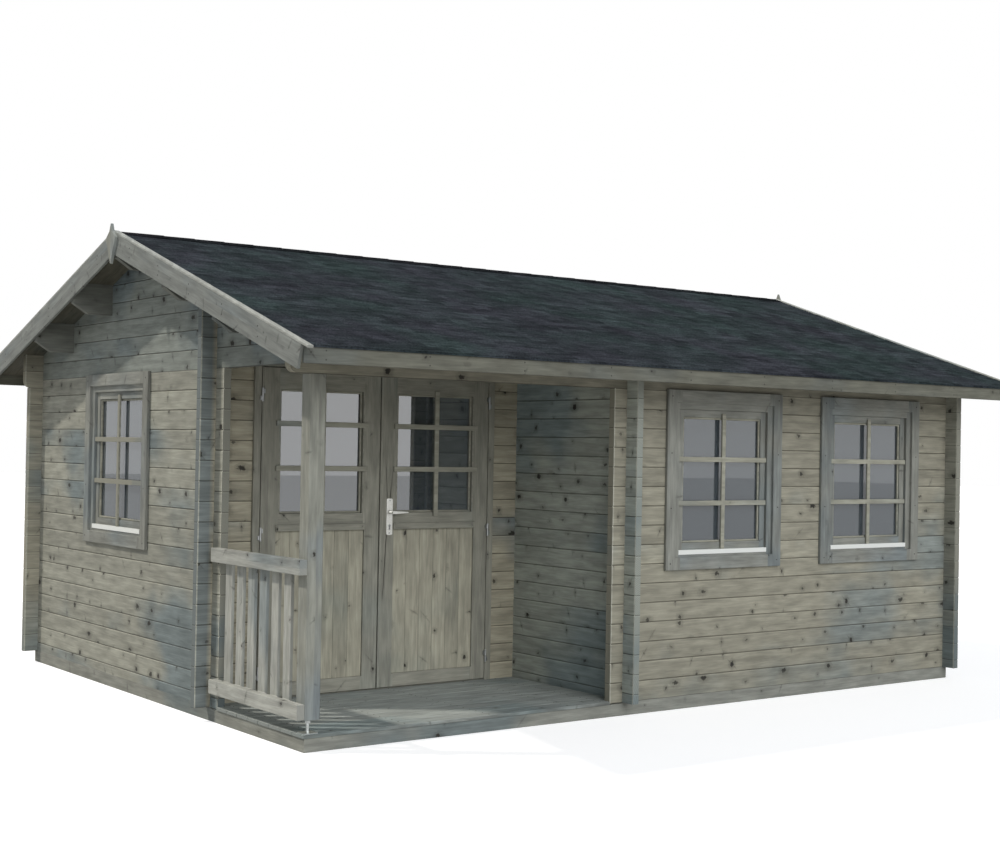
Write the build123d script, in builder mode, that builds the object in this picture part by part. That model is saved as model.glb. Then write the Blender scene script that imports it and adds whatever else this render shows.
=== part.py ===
from build123d import *
import os
from math import ceil, cos, radians, sin, tan

os.makedirs("parts", exist_ok=True)

# Log courses
log_pitch = 114.0
log_thick = 44.0
groove_depth = 5.0
log_overrun = 95.0
plate_overrun = 126.0
plate_end_radius = 50.0
plate_courses = 2
eave_height = 2117.0

# Plan of the house, outer faces of the logs
house_length = 5100.0
house_depth = 3800.0
porch_depth = 1060.0
porch_width = 2105.0

# Bearers, joists and floors
bearer_height = 78.0
deck_rise = 12.0
deck_thick = 18.0
deck_clearance = 2.0
deck_lip = 8.0
joist_thick = 45.0
joist_spacing = 560.0

# Roof
roof_pitch = 18.4
eave_overhang = 362.0
gable_overhang = 255.0
board_thick = 18.0
cover_thick = 7.0
cover_drip = 8.0
fascia_thick = 18.0
fascia_depth = 80.0
barge_thick = 18.0
barge_depth = 122.0
cap_thick = 14.0
cap_width = 34.0
cap_nose = 64.0
purlin_depth = 185.0
purlin_inner_offset = 675.0
purlin_outer_offset = 1315.0
purlin_bevel_length = 100.0
purlin_bevel_rise = 64.0
finial_thick = 18.0
finial_height = 242.0
finial_width = 142.0
finial_rise = 40.0

# Windows
window_width = 980.0
window_height = 1080.0
window_top_rise = 11.0
window_gap = 371.0
window_shift = -22.0
casing_thick = 20.0
casing_lap = 30.0
casing_width = 75.0
window_jamb_width = 85.0
window_jamb_setback = 18.0
sash_setback = 36.0
sash_width = 45.0
sash_thick = 44.0
glass_thick = 4.0
sill_height = 27.0
sill_metal = 3.0

# Double door
leaf_width = 789.0
leaf_thick = 40.0
meeting_gap = 8.0
leaf_gap = 5.0
leaf_bottom_gap = 5.0
threshold_thick = 17.0
door_jamb_thick = 30.0
door_casing_thick = 18.0
door_casing_lap = 14.0
stop_reach = 18.0
stile_width = 119.0
bottom_rail = 80.0
mid_rail_bottom = 945.0
mid_rail_depth = 100.0
top_rail = 121.0
panel_stile_width = 100.0
panel_thick = 18.0
light_setback = 30.0
drip_length = 600.0
drip_height = 37.0
drip_reach = 10.0

# Hinges
knuckle_radius = 6.5
knuckle_height = 38.0
knuckle_gap = 1.0
knuckle_setoff = 9.0
pin_radius = 3.0
pin_clearance = 0.05
pin_length = 30.0
tab_reach = 16.0
tab_height = 24.0
hinge_heights = (142.0, 930.0, 1723.0)

# Lever handle
plate_width = 42.0
plate_height = 218.0
plate_thick = 4.0
plate_corner = 6.0
plate_middle_height = 1020.0
spindle_from_plate_middle = 27.0
spindle_from_meeting_edge = 67.0
spindle_radius = 5.0
spindle_hole_radius = 10.0
neck_radius = 8.0
neck_clearance = 0.5
neck_length = 52.0
blade_thick = 13.0
lever_length = 104.0
lever_root = 9.5
lever_tip = 4.0

# Porch post, foot and balustrade
post_width = 90.0
post_depth = 90.0
post_chamfer = 3.0
foot_height = 70.0
foot_plate_width = 76.0
foot_plate_thick = 4.0
foot_stem_radius = 8.0
foot_nut_radius = 15.0
foot_nut_height = 16.0
foot_nut_drop = 3.0
rail_thick = 44.0
rail_depth = 78.0
rail_rear_lap = 30.0
top_rail_top = 967.0
low_rail_top = 243.0
baluster_width = 74.0
baluster_thick = 18.0
baluster_pitch = 132.0
baluster_count = 6
baluster_lap = 50.0
round_sides = 12

# Faces and levels that follow from the sizes above
x_left = -house_length / 2
x_right = house_length / 2
y_front = -house_depth / 2
y_rear = house_depth / 2
y_door = y_front + porch_depth
x_side = x_left + porch_width
x_door = x_left + (log_thick + porch_width) / 2
x_front_room = (x_side + x_right) / 2
x_first_window = x_front_room + window_shift - (window_width + window_gap) / 2
x_second_window = x_front_room + window_shift + (window_width + window_gap) / 2
y_gable_window = (y_door + y_rear) / 2
deck_top = bearer_height + deck_rise
deck_bottom = deck_top - deck_thick
lower_courses = ceil((eave_height - bearer_height) / log_pitch) - plate_courses
door_courses = lower_courses + 1
lower_top = bearer_height + lower_courses * log_pitch
gable_split = lower_top + log_pitch / 2
door_top = bearer_height + door_courses * log_pitch
roof_rise = tan(radians(roof_pitch))
window_bottom = lower_top + window_top_rise - window_height
ridge_height = eave_height + roof_rise * house_depth / 2
board_drop = board_thick / cos(radians(roof_pitch))
cover_drop = cover_thick / cos(radians(roof_pitch))
cap_drop = cap_thick / cos(radians(roof_pitch))
roof_left = x_left - gable_overhang
roof_length = house_length + 2 * gable_overhang
purlin_places = (
    -purlin_outer_offset,
    -purlin_inner_offset,
    0.0,
    purlin_inner_offset,
    purlin_outer_offset,
)


def side_plane(x):
    return Plane(origin=(x, 0, 0), x_dir=(0, 1, 0), z_dir=(1, 0, 0))


def front_plane(y):
    return Plane(origin=(0, y, 0), x_dir=(1, 0, 0), z_dir=(0, -1, 0))


def under_roof(y):
    return ridge_height - roof_rise * abs(y)


def outline(points):
    with BuildLine() as loop:
        Polyline(*points, close=True)
    make_face(loop.edges())


def log_section(outer, inner, bottom, top_outer, top_inner, first_joint):
    # Section across a stack of logs, with a V groove at each joint on the outer face.
    step_in = groove_depth if inner > outer else -groove_depth
    limit = min(top_outer, top_inner) - 2 * groove_depth
    corners = [(inner, top_inner), (inner, bottom), (outer, bottom)]
    joint = first_joint
    while joint < limit:
        if joint > bottom + groove_depth:
            corners.append((outer, joint - groove_depth))
            corners.append((outer + step_in, joint))
            corners.append((outer, joint + groove_depth))
        joint += log_pitch
    corners.append((outer, top_outer))
    outline(corners)


def long_wall(x_start, x_end, y_outer, y_inner, bottom, top_outer, top_inner):
    # Logs that run along the house and start with a full course.
    with BuildSketch(side_plane(x_start)) as section:
        log_section(y_outer, y_inner, bottom, top_outer, top_inner, bearer_height)
    extrude(section.sketch, amount=x_end - x_start)


def cross_wall(y_start, y_end, x_outer, x_inner, bottom, top):
    # Logs that run across the house and start with a half course.
    with BuildSketch(front_plane(y_start)) as section:
        log_section(x_outer, x_inner, bottom, top, top, bearer_height + log_pitch / 2)
    extrude(section.sketch, amount=y_start - y_end)


def under_roof_shape(y_start, y_end, x_near, bottom):
    # Keeps what lies below the roof boards between two places across the house.
    corners = [(y_start, bottom), (y_end, bottom), (y_end, under_roof(y_end))]
    if y_start < 0 < y_end:
        corners.append((0, ridge_height))
    corners.append((y_start, under_roof(y_start)))
    with BuildSketch(side_plane(x_near)) as shape:
        outline(corners)
    extrude(shape.sketch, amount=log_thick, mode=Mode.INTERSECT)


def cog(x_near, y_near, first, top):
    # Cuts the half-deep notches where crossing logs pass through each other.
    height = bearer_height + first * log_pitch
    spots = []
    while height - log_pitch / 4 < top:
        spots.append((x_near + log_thick / 2, y_near + log_thick / 2, height))
        height += log_pitch
    with Locations(*spots):
        Box(log_thick, log_thick, log_pitch / 2, mode=Mode.SUBTRACT)


def window_hole(plane, middle, bottom):
    cut_width = window_width - 2 * casing_lap
    cut_height = window_height - 2 * casing_lap
    with BuildSketch(plane) as hole:
        with Locations((middle, bottom + window_height / 2)):
            Rectangle(cut_width, cut_height)
    extrude(hole.sketch, amount=log_thick, both=True, mode=Mode.SUBTRACT)


def purlin_section(y):
    half = log_thick / 2
    bottom = under_roof(y) - purlin_depth
    corners = [(y - half, bottom), (y + half, bottom), (y + half, under_roof(y + half))]
    if y == 0:
        corners.append((0, ridge_height))
    corners.append((y - half, under_roof(y - half)))
    outline(corners)


def purlin_slots(places, x_near):
    with BuildSketch(side_plane(x_near)) as slots:
        for y in places:
            purlin_section(y)
    extrude(slots.sketch, amount=log_thick, mode=Mode.SUBTRACT)


def save(piece, name):
    piece.part.label = name
    export_step(piece.part, "parts/" + name + ".step")


# Bearers under every wall, lower where the porch deck lies on them
with BuildPart() as bearers:
    with BuildSketch():
        Rectangle(house_length, house_depth)
        Rectangle(house_length - 2 * log_thick, house_depth - 2 * log_thick, mode=Mode.SUBTRACT)
        with Locations((x_left + porch_width / 2, y_door + log_thick / 2)):
            Rectangle(porch_width, log_thick)
        with Locations((x_side + log_thick / 2, y_front + (porch_depth + log_thick) / 2)):
            Rectangle(log_thick, porch_depth + log_thick)
    extrude(amount=bearer_height)
    with BuildSketch(Plane.XY.offset(deck_bottom)):
        with Locations((x_left + porch_width / 2, y_front + porch_depth / 2)):
            Rectangle(porch_width, porch_depth)
    extrude(amount=deck_thick, mode=Mode.SUBTRACT)
save(bearers, "bearers")


# Joists between the bearers
def joist_row(x_start, x_end, y_start, y_end):
    count = int((x_end - x_start) // joist_spacing)
    middle = ((x_start + x_end) / 2, (y_start + y_end) / 2)
    with Locations(middle):
        with GridLocations(joist_spacing, 0, count, 1):
            Rectangle(joist_thick, y_end - y_start)


with BuildPart() as joists:
    with BuildSketch():
        joist_row(x_left + log_thick, x_side, y_front + log_thick, y_door)
        joist_row(x_left + log_thick, x_side, y_door + log_thick, y_rear - log_thick)
        joist_row(x_side + log_thick, x_right - log_thick, y_front + log_thick, y_rear - log_thick)
    extrude(amount=deck_bottom)
save(joists, "floor_joists")

# Room floor inside the walls, an L on plan with a place cut for each log end
with BuildPart() as room_floor:
    with BuildSketch(Plane.XY.offset(deck_bottom)):
        Rectangle(house_length - 2 * log_thick, house_depth - 2 * log_thick)
        with Locations((x_left + (porch_width + log_thick) / 2, y_front + (porch_depth + log_thick) / 2)):
            Rectangle(porch_width + log_thick, porch_depth + log_thick, mode=Mode.SUBTRACT)
        with Locations((x_side + log_thick + log_overrun / 2, y_door + log_thick / 2)):
            Rectangle(
                log_overrun + 2 * deck_clearance,
                log_thick + 2 * deck_clearance,
                mode=Mode.SUBTRACT,
            )
        with Locations((x_side + log_thick / 2, y_door + log_thick + log_overrun / 2)):
            Rectangle(
                log_thick + 2 * deck_clearance,
                log_overrun + 2 * deck_clearance,
                mode=Mode.SUBTRACT,
            )
    extrude(amount=deck_thick)
save(room_floor, "room_floor")

# Porch deck with a lip over the bearers, cut round the log ends that reach into the porch
with BuildPart() as porch_deck:
    with BuildSketch(Plane.XY.offset(deck_bottom)):
        with Locations((x_left + (porch_width - deck_lip) / 2, y_front + (porch_depth - deck_lip) / 2)):
            Rectangle(porch_width + deck_lip, porch_depth + deck_lip)
        with Locations((x_left + (log_thick - deck_lip) / 2, y_door - log_overrun / 2)):
            Rectangle(
                log_thick + deck_lip + 2 * deck_clearance,
                log_overrun + 2 * deck_clearance,
                mode=Mode.SUBTRACT,
            )
        with Locations((x_side - log_overrun / 2, y_front + (log_thick - deck_lip) / 2)):
            Rectangle(
                log_overrun + 2 * deck_clearance,
                log_thick + deck_lip + 2 * deck_clearance,
                mode=Mode.SUBTRACT,
            )
    extrude(amount=deck_thick)
save(porch_deck, "porch_deck")

# Front wall with its two window holes
with BuildPart() as front_wall:
    long_wall(
        x_side - log_overrun, x_right + log_overrun, y_front, y_front + log_thick,
        bearer_height, lower_top, lower_top,
    )
    cog(x_side, y_front, 0, lower_top)
    cog(x_right - log_thick, y_front, 0, lower_top)
    for window_middle in (x_first_window, x_second_window):
        window_hole(front_plane(y_front), window_middle, window_bottom)
save(front_wall, "front_wall")

# Rear wall
with BuildPart() as rear_wall:
    long_wall(
        x_left - log_overrun, x_right + log_overrun, y_rear, y_rear - log_thick,
        bearer_height, lower_top, lower_top,
    )
    cog(x_left, y_rear - log_thick, 0, lower_top)
    cog(x_right - log_thick, y_rear - log_thick, 0, lower_top)
save(rear_wall, "rear_wall")


# Plate logs, the top two courses that run the full length and carry the eaves
def plate_logs(y_outer, y_inner):
    start = x_left - plate_overrun
    end = x_right + plate_overrun
    long_wall(start, end, y_outer, y_inner, lower_top, under_roof(y_outer), under_roof(y_inner))
    bottom_ends = edges().filter_by(Axis.Y).group_by(Axis.Z)[0]
    fillet(bottom_ends, plate_end_radius)


with BuildPart() as front_plate:
    plate_logs(y_front, y_front + log_thick)
    cog(x_left, y_front, lower_courses + 1, eave_height)
    cog(x_side, y_front, lower_courses, eave_height)
    cog(x_right - log_thick, y_front, lower_courses, eave_height)
save(front_plate, "front_plate_logs")

with BuildPart() as rear_plate:
    plate_logs(y_rear, y_rear - log_thick)
    cog(x_left, y_rear - log_thick, lower_courses, eave_height)
    cog(x_right - log_thick, y_rear - log_thick, lower_courses, eave_height)
save(rear_plate, "rear_plate_logs")

# Left gable wall below the beam that crosses the porch side
with BuildPart() as left_gable:
    cross_wall(
        y_door - log_overrun, y_rear + log_overrun, x_left, x_left + log_thick,
        bearer_height, gable_split,
    )
    cog(x_left, y_door, 0.5, gable_split)
    cog(x_left, y_rear - log_thick, 0.5, gable_split)
    window_hole(side_plane(x_left), y_gable_window, window_bottom + log_pitch / 2)
save(left_gable, "left_gable_wall")

# Left gable top, which spans the porch side and carries the purlins
with BuildPart() as left_top:
    cross_wall(
        y_front - log_overrun, y_rear + log_overrun, x_left, x_left + log_thick,
        gable_split, ridge_height + log_pitch,
    )
    under_roof_shape(y_front - log_overrun, y_rear + log_overrun, x_left, gable_split)
    cog(x_left, y_front, lower_courses + 0.5, eave_height)
    cog(x_left, y_door, lower_courses + 0.5, under_roof(y_door))
    cog(x_left, y_rear - log_thick, lower_courses + 0.5, eave_height)
    purlin_slots(purlin_places, x_left)
save(left_top, "left_gable_top")

# Right gable wall, one plain stack from bearer to ridge
with BuildPart() as right_gable:
    cross_wall(
        y_front - log_overrun, y_rear + log_overrun, x_right, x_right - log_thick,
        bearer_height, ridge_height + log_pitch,
    )
    under_roof_shape(
        y_front - log_overrun, y_rear + log_overrun, x_right - log_thick, bearer_height,
    )
    cog(x_right - log_thick, y_front, 0.5, eave_height)
    cog(x_right - log_thick, y_rear - log_thick, 0.5, eave_height)
    purlin_slots(purlin_places, x_right - log_thick)
save(right_gable, "right_gable_wall")

# Porch side wall
with BuildPart() as porch_side:
    side_end = y_door + log_thick + log_overrun
    cross_wall(
        y_front - log_overrun, side_end, x_side, x_side + log_thick,
        bearer_height, ridge_height,
    )
    under_roof_shape(y_front - log_overrun, side_end, x_side, bearer_height)
    cog(x_side, y_front, 0.5, eave_height)
    cog(x_side, y_door, 0.5, under_roof(y_door))
    purlin_slots((-purlin_outer_offset,), x_side)
save(porch_side, "porch_side_wall")

# Door wall beside and over the double door
door_half = leaf_width + meeting_gap / 2 + leaf_gap
hole_half = door_half + door_jamb_thick

with BuildPart() as door_wall_left:
    long_wall(
        x_left - log_overrun, x_door - hole_half, y_door, y_door + log_thick,
        bearer_height, door_top, door_top,
    )
    cog(x_left, y_door, 0, door_top)
save(door_wall_left, "door_wall_left")

with BuildPart() as door_wall_right:
    long_wall(
        x_door + hole_half, x_side + log_thick + log_overrun, y_door, y_door + log_thick,
        bearer_height, door_top, door_top,
    )
    cog(x_side, y_door, 0, door_top)
save(door_wall_right, "door_wall_right")

with BuildPart() as door_wall_top:
    long_wall(
        x_left - log_overrun, x_side + log_thick + log_overrun, y_door, y_door + log_thick,
        door_top, under_roof(y_door), under_roof(y_door + log_thick),
    )
    cog(x_left, y_door, door_courses, under_roof(y_door))
    cog(x_side, y_door, door_courses, under_roof(y_door))
save(door_wall_top, "door_wall_top")

# Purlins, each with its underside cut away towards the barge board
purlin_names = (
    "purlin_front_outer",
    "purlin_front_inner",
    "purlin_ridge",
    "purlin_rear_inner",
    "purlin_rear_outer",
)
for place, purlin_name in zip(purlin_places, purlin_names):
    with BuildPart() as purlin:
        with BuildSketch(side_plane(roof_left)):
            purlin_section(place)
        extrude(amount=roof_length)
        under = under_roof(place) - purlin_depth
        with BuildSketch(front_plane(place)):
            for end in (-1, 1):
                tip = end * roof_length / 2
                outline([
                    (tip, under),
                    (tip - end * purlin_bevel_length, under),
                    (tip, under + purlin_bevel_rise),
                ])
        extrude(amount=log_thick, both=True, mode=Mode.SUBTRACT)
    save(purlin, purlin_name)


# Roof boards and roof covering, one slope each
def slope_sheet(side, eave, lift, drop):
    with BuildSketch(side_plane(roof_left)) as sheet:
        outline([
            (0, ridge_height + lift),
            (side * eave, under_roof(eave) + lift),
            (side * eave, under_roof(eave) + lift + drop),
            (0, ridge_height + lift + drop),
        ])
    extrude(sheet.sketch, amount=roof_length)


board_eave = y_rear + eave_overhang
cover_eave = board_eave + fascia_thick + cover_drip
for side, side_name in ((-1, "front"), (1, "rear")):
    with BuildPart() as roof_boards:
        slope_sheet(side, board_eave, 0, board_drop)
    save(roof_boards, "roof_boards_" + side_name)
    with BuildPart() as roof_cover:
        slope_sheet(side, cover_eave, board_drop, cover_drop)
    save(roof_cover, "roof_cover_" + side_name)
    with BuildPart() as fascia:
        with BuildSketch(side_plane(roof_left)):
            near = board_eave
            far = board_eave + fascia_thick
            bottom = under_roof(far) + board_drop - fascia_depth
            outline([
                (side * near, bottom),
                (side * far, bottom),
                (side * far, under_roof(far) + board_drop),
                (side * near, under_roof(near) + board_drop),
            ])
        extrude(amount=roof_length)
    save(fascia, "fascia_" + side_name)


# Barge boards and the cap strips over them, all cut square to the slope at the eave
def slope_board(side, reach, level, depth):
    lean = radians(roof_pitch)
    end = under_roof(reach) + level
    outline([
        (0, ridge_height + level),
        (side * reach, end),
        (side * (reach - depth * sin(lean)), end - depth * cos(lean)),
        (0, ridge_height + level - depth / cos(lean)),
    ])


cover_top = board_drop + cover_drop
barge_end = board_eave + fascia_thick
for side, side_name in ((-1, "front"), (1, "rear")):
    with BuildPart() as barges:
        for end in (-1, 1):
            with BuildSketch(side_plane(end * roof_length / 2)):
                slope_board(side, barge_end, cover_top, barge_depth)
            extrude(amount=end * barge_thick)
    save(barges, "barge_boards_" + side_name)
    with BuildPart() as caps:
        for end in (-1, 1):
            with BuildSketch(side_plane(end * (roof_length / 2 + barge_thick))):
                slope_board(side, barge_end + cap_nose, cover_top + cap_drop, cap_thick)
            extrude(amount=-end * cap_width)
    save(caps, "barge_caps_" + side_name)

# Spear-shaped finial on each apex
with BuildPart() as finials:
    tip = ridge_height + cover_top + cap_drop + finial_rise
    half = finial_width / 2
    for end in (-1, 1):
        with BuildSketch(side_plane(end * (roof_length / 2 + barge_thick))):
            with BuildLine():
                waist = (half * 0.3, tip - finial_height * 0.2)
                shoulder = (half, tip - finial_height * 0.36)
                point = (0, tip - finial_height)
                Line((0, tip), waist)
                Line(waist, shoulder)
                Line(shoulder, point)
                mirror(about=Plane.YZ)
            make_face()
        extrude(amount=end * finial_thick)
save(finials, "finials")


# Windows, each a cased frame, a sash, its glass and a metal sill strip
def ring(plane, middle, low, inset, width, start, depth):
    outer_width = window_width - 2 * inset
    outer_height = window_height - 2 * inset
    with BuildSketch(plane.offset(start)) as band:
        with Locations((middle, low + window_height / 2)):
            Rectangle(outer_width, outer_height)
            Rectangle(outer_width - 2 * width, outer_height - 2 * width, mode=Mode.SUBTRACT)
    extrude(band.sketch, amount=depth)


window_places = (
    ("first_window", front_plane(y_front), x_first_window, window_bottom),
    ("second_window", front_plane(y_front), x_second_window, window_bottom),
    (
        "gable_window",
        Plane(origin=(x_left, 0, 0), x_dir=(0, -1, 0), z_dir=(-1, 0, 0)),
        -y_gable_window,
        window_bottom + log_pitch / 2,
    ),
)
jamb_front = casing_thick - window_jamb_setback
jamb_through = jamb_front + log_thick + casing_thick
sash_front = casing_thick - sash_setback
sash_inset = casing_lap + window_jamb_width
glass_inset = sash_inset + sash_width
for window_name, plane, middle, low in window_places:
    with BuildPart() as frame:
        ring(plane, middle, low, 0, casing_width, 0, casing_thick)
        ring(plane, middle, low, casing_lap, window_jamb_width, jamb_front, -jamb_through)
        ring(plane, middle, low, 0, casing_width, -log_thick, -casing_thick)
    save(frame, window_name + "_frame")
    with BuildPart() as sash:
        ring(plane, middle, low, sash_inset, sash_width, sash_front, -sash_thick)
    save(sash, window_name + "_sash")

with BuildPart() as window_glass:
    for window_name, plane, middle, low in window_places:
        with BuildSketch(plane.offset(sash_front - sash_thick / 2)):
            with Locations((middle, low + window_height / 2)):
                Rectangle(window_width - 2 * glass_inset, window_height - 2 * glass_inset)
        extrude(amount=-glass_thick)
save(window_glass, "window_glass")

# Metal strips bent over the lower jambs, in front of each sash
with BuildPart() as window_sills:
    for window_name, plane, middle, low in window_places:
        sill_low = low + sash_inset
        sill_top = sill_low + sill_metal
        sill_front = jamb_front + sill_metal
        sill_width = window_width - 2 * sash_inset
        start = plane.origin + plane.x_dir * (middle - sill_width / 2)
        across = Plane(origin=start, x_dir=plane.z_dir, z_dir=plane.x_dir)
        turn = 1 if across.y_dir.Z > 0 else -1
        with BuildSketch(across):
            outline([
                (sash_front, turn * sill_low),
                (sash_front, turn * sill_top),
                (sill_front, turn * sill_top),
                (sill_front, turn * (sill_top - sill_height)),
                (jamb_front, turn * (sill_top - sill_height)),
                (jamb_front, turn * sill_low),
            ])
        extrude(amount=sill_width)
save(window_sills, "window_sills")

# Door frame with casings, jambs and the stops that the leaves close against
door_face = door_casing_thick
threshold_top = bearer_height + threshold_thick
leaf_low = threshold_top + leaf_bottom_gap
leaf_top = door_top - door_jamb_thick - leaf_gap
door_head = door_top - door_jamb_thick
stop_depth = leaf_thick + leaf_gap


def portal(half, low, head, thick, start, depth):
    with BuildSketch(front_plane(y_door).offset(start)) as arch:
        outline([
            (x_door - half - thick, low),
            (x_door - half, low),
            (x_door - half, head),
            (x_door + half, head),
            (x_door + half, low),
            (x_door + half + thick, low),
            (x_door + half + thick, head + thick),
            (x_door - half - thick, head + thick),
        ])
    extrude(arch.sketch, amount=depth)


with BuildPart() as door_frame:
    casing_wide = door_jamb_thick + door_casing_lap
    portal(door_half, deck_top, door_head, casing_wide, 0, door_face)
    portal(door_half, bearer_height, door_head, door_jamb_thick, 0, -log_thick)
    portal(door_half, deck_top, door_head, casing_wide, -log_thick, -door_face)
    stop_start = door_face - stop_depth
    portal(
        door_half - stop_reach, threshold_top, door_head - stop_reach, stop_reach,
        stop_start, -log_thick - door_face - stop_start,
    )
    with BuildSketch(front_plane(y_door)):
        with Locations((x_door, bearer_height + threshold_thick / 2)):
            Rectangle(2 * door_half, threshold_thick)
    extrude(amount=-log_thick)
save(door_frame, "door_frame")

# Door leaves, glazed above a boarded panel
glass_low = leaf_low + mid_rail_bottom + mid_rail_depth
glass_high = leaf_top - top_rail
panel_low = leaf_low + bottom_rail
panel_high = leaf_low + mid_rail_bottom
light_width = leaf_width - 2 * stile_width
panel_width = leaf_width - 2 * panel_stile_width
spindle_height = leaf_low + plate_middle_height + spindle_from_plate_middle
plate_middle = leaf_low + plate_middle_height
spindle_x = x_door + meeting_gap / 2 + spindle_from_meeting_edge
leaf_front = front_plane(y_door).offset(door_face)


def leaf_rectangle(middle, width, low, high):
    with Locations((middle, (low + high) / 2)):
        Rectangle(width, high - low)


for side, side_name in ((-1, "left"), (1, "right")):
    leaf_middle = x_door + side * (meeting_gap + leaf_width) / 2
    with BuildPart() as leaf:
        with BuildSketch(leaf_front):
            leaf_rectangle(leaf_middle, leaf_width, leaf_low, leaf_top)
        extrude(amount=-leaf_thick)
        with BuildSketch(leaf_front):
            leaf_rectangle(leaf_middle, light_width, glass_low, glass_high)
            leaf_rectangle(leaf_middle, panel_width, panel_low, panel_high)
            if side > 0:
                with Locations((spindle_x, spindle_height)):
                    Circle(spindle_hole_radius)
        extrude(amount=-leaf_thick, mode=Mode.SUBTRACT)
        with BuildSketch(leaf_front):
            leaf_rectangle(leaf_middle, drip_length, panel_high, panel_high + drip_height)
        extrude(amount=drip_reach)
    save(leaf, side_name + "_door_leaf")
    with BuildPart() as panel:
        with BuildSketch(leaf_front.offset(-(leaf_thick - panel_thick) / 2)):
            leaf_rectangle(leaf_middle, panel_width, panel_low, panel_high)
        extrude(amount=-panel_thick)
    save(panel, side_name + "_door_panel")
    with BuildPart() as pane:
        with BuildSketch(leaf_front.offset(-light_setback)):
            leaf_rectangle(leaf_middle, light_width, glass_low, glass_high)
        extrude(amount=-glass_thick)
    save(pane, side_name + "_door_glass")

# Hinges, a lower knuckle with its pin on the frame and an upper one on the leaf
hinge_y = y_door - door_face - knuckle_setoff


def round_bar(x, y, low, radius, height):
    with BuildSketch(Plane.XY.offset(low)) as bar:
        with Locations((x, y)):
            RegularPolygon(radius, round_sides)
    extrude(bar.sketch, amount=height)


def knuckle(x, low, inward):
    round_bar(x, hinge_y, low, knuckle_radius, knuckle_height)
    with Locations((x + inward * tab_reach / 2, hinge_y + knuckle_setoff / 2, low + knuckle_height / 2)):
        Box(tab_reach, knuckle_setoff, tab_height)


with BuildPart() as frame_hinges:
    for side in (-1, 1):
        hinge_x = x_door + side * (door_half - leaf_gap / 2)
        for rise in hinge_heights:
            low = leaf_low + rise - knuckle_height - knuckle_gap / 2
            knuckle(hinge_x, low, side)
            round_bar(hinge_x, hinge_y, low + knuckle_height, pin_radius, pin_length)
save(frame_hinges, "frame_hinges")

for side, side_name in ((-1, "left"), (1, "right")):
    hinge_x = x_door + side * (door_half - leaf_gap / 2)
    with BuildPart() as leaf_hinges:
        for rise in hinge_heights:
            low = leaf_low + rise + knuckle_gap / 2
            knuckle(hinge_x, low, -side)
            with BuildSketch(Plane.XY.offset(low)):
                with Locations((hinge_x, hinge_y)):
                    RegularPolygon(pin_radius + pin_clearance, round_sides, major_radius=False)
            extrude(amount=pin_length, mode=Mode.SUBTRACT)
    save(leaf_hinges, side_name + "_leaf_hinges")

# Handle plates on both faces of the right leaf
with BuildPart() as handle_plates:
    for start, depth in ((0, plate_thick), (-leaf_thick, -plate_thick)):
        with BuildSketch(leaf_front.offset(start)) as plate:
            with Locations((spindle_x, plate_middle)):
                Rectangle(plate_width, plate_height)
            chamfer(plate.vertices(), plate_corner)
            with Locations((spindle_x, spindle_height)):
                Circle(neck_radius + neck_clearance, mode=Mode.SUBTRACT)
        extrude(amount=depth)
save(handle_plates, "handle_plates")

# Levers on one spindle through the leaf, each a round neck and a tapered blade
neck_reach = neck_length - blade_thick
lever_end = spindle_x + lever_length
with BuildPart() as lever:
    with BuildSketch(leaf_front):
        with Locations((spindle_x, spindle_height)):
            Circle(spindle_radius)
    extrude(amount=-leaf_thick)
    for face, outward in ((0, 1), (-leaf_thick, -1)):
        with BuildSketch(leaf_front.offset(face)):
            with Locations((spindle_x, spindle_height)):
                Circle(neck_radius)
        extrude(amount=outward * neck_reach)
        with BuildSketch(leaf_front.offset(face + outward * neck_reach)):
            outline([
                (spindle_x - lever_root, spindle_height - lever_root / 2),
                (spindle_x - lever_root / 2, spindle_height - lever_root),
                (spindle_x + lever_root, spindle_height - lever_root),
                (lever_end - lever_tip, spindle_height - lever_tip),
                (lever_end, spindle_height - lever_tip / 2),
                (lever_end, spindle_height + lever_tip / 2),
                (lever_end - lever_tip, spindle_height + lever_tip),
                (spindle_x + lever_root, spindle_height + lever_root),
                (spindle_x - lever_root / 2, spindle_height + lever_root),
                (spindle_x - lever_root, spindle_height + lever_root / 2),
            ])
        extrude(amount=outward * blade_thick)
save(lever, "door_lever")

# Corner post on its steel foot
post_bottom = deck_top + foot_height
x_post = x_left + post_width / 2
y_post = y_front + post_depth / 2
with BuildPart() as post:
    with BuildSketch(Plane.XY.offset(post_bottom)):
        with Locations((x_post, y_post)):
            Rectangle(post_width, post_depth)
    extrude(amount=lower_top - post_bottom)
    chamfer(edges().filter_by(Axis.Z), post_chamfer)
save(post, "corner_post")

with BuildPart() as foot:
    with Locations((x_post, y_post, deck_top + foot_plate_thick / 2)):
        Box(foot_plate_width, foot_plate_width, foot_plate_thick)
    round_bar(x_post, y_post, deck_top, foot_stem_radius, foot_height)
    with BuildSketch(Plane.XY.offset(post_bottom - foot_nut_drop - foot_nut_height)):
        with Locations((x_post, y_post)):
            RegularPolygon(foot_nut_radius, 6)
    extrude(amount=foot_nut_height)
save(foot, "post_foot")

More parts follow.
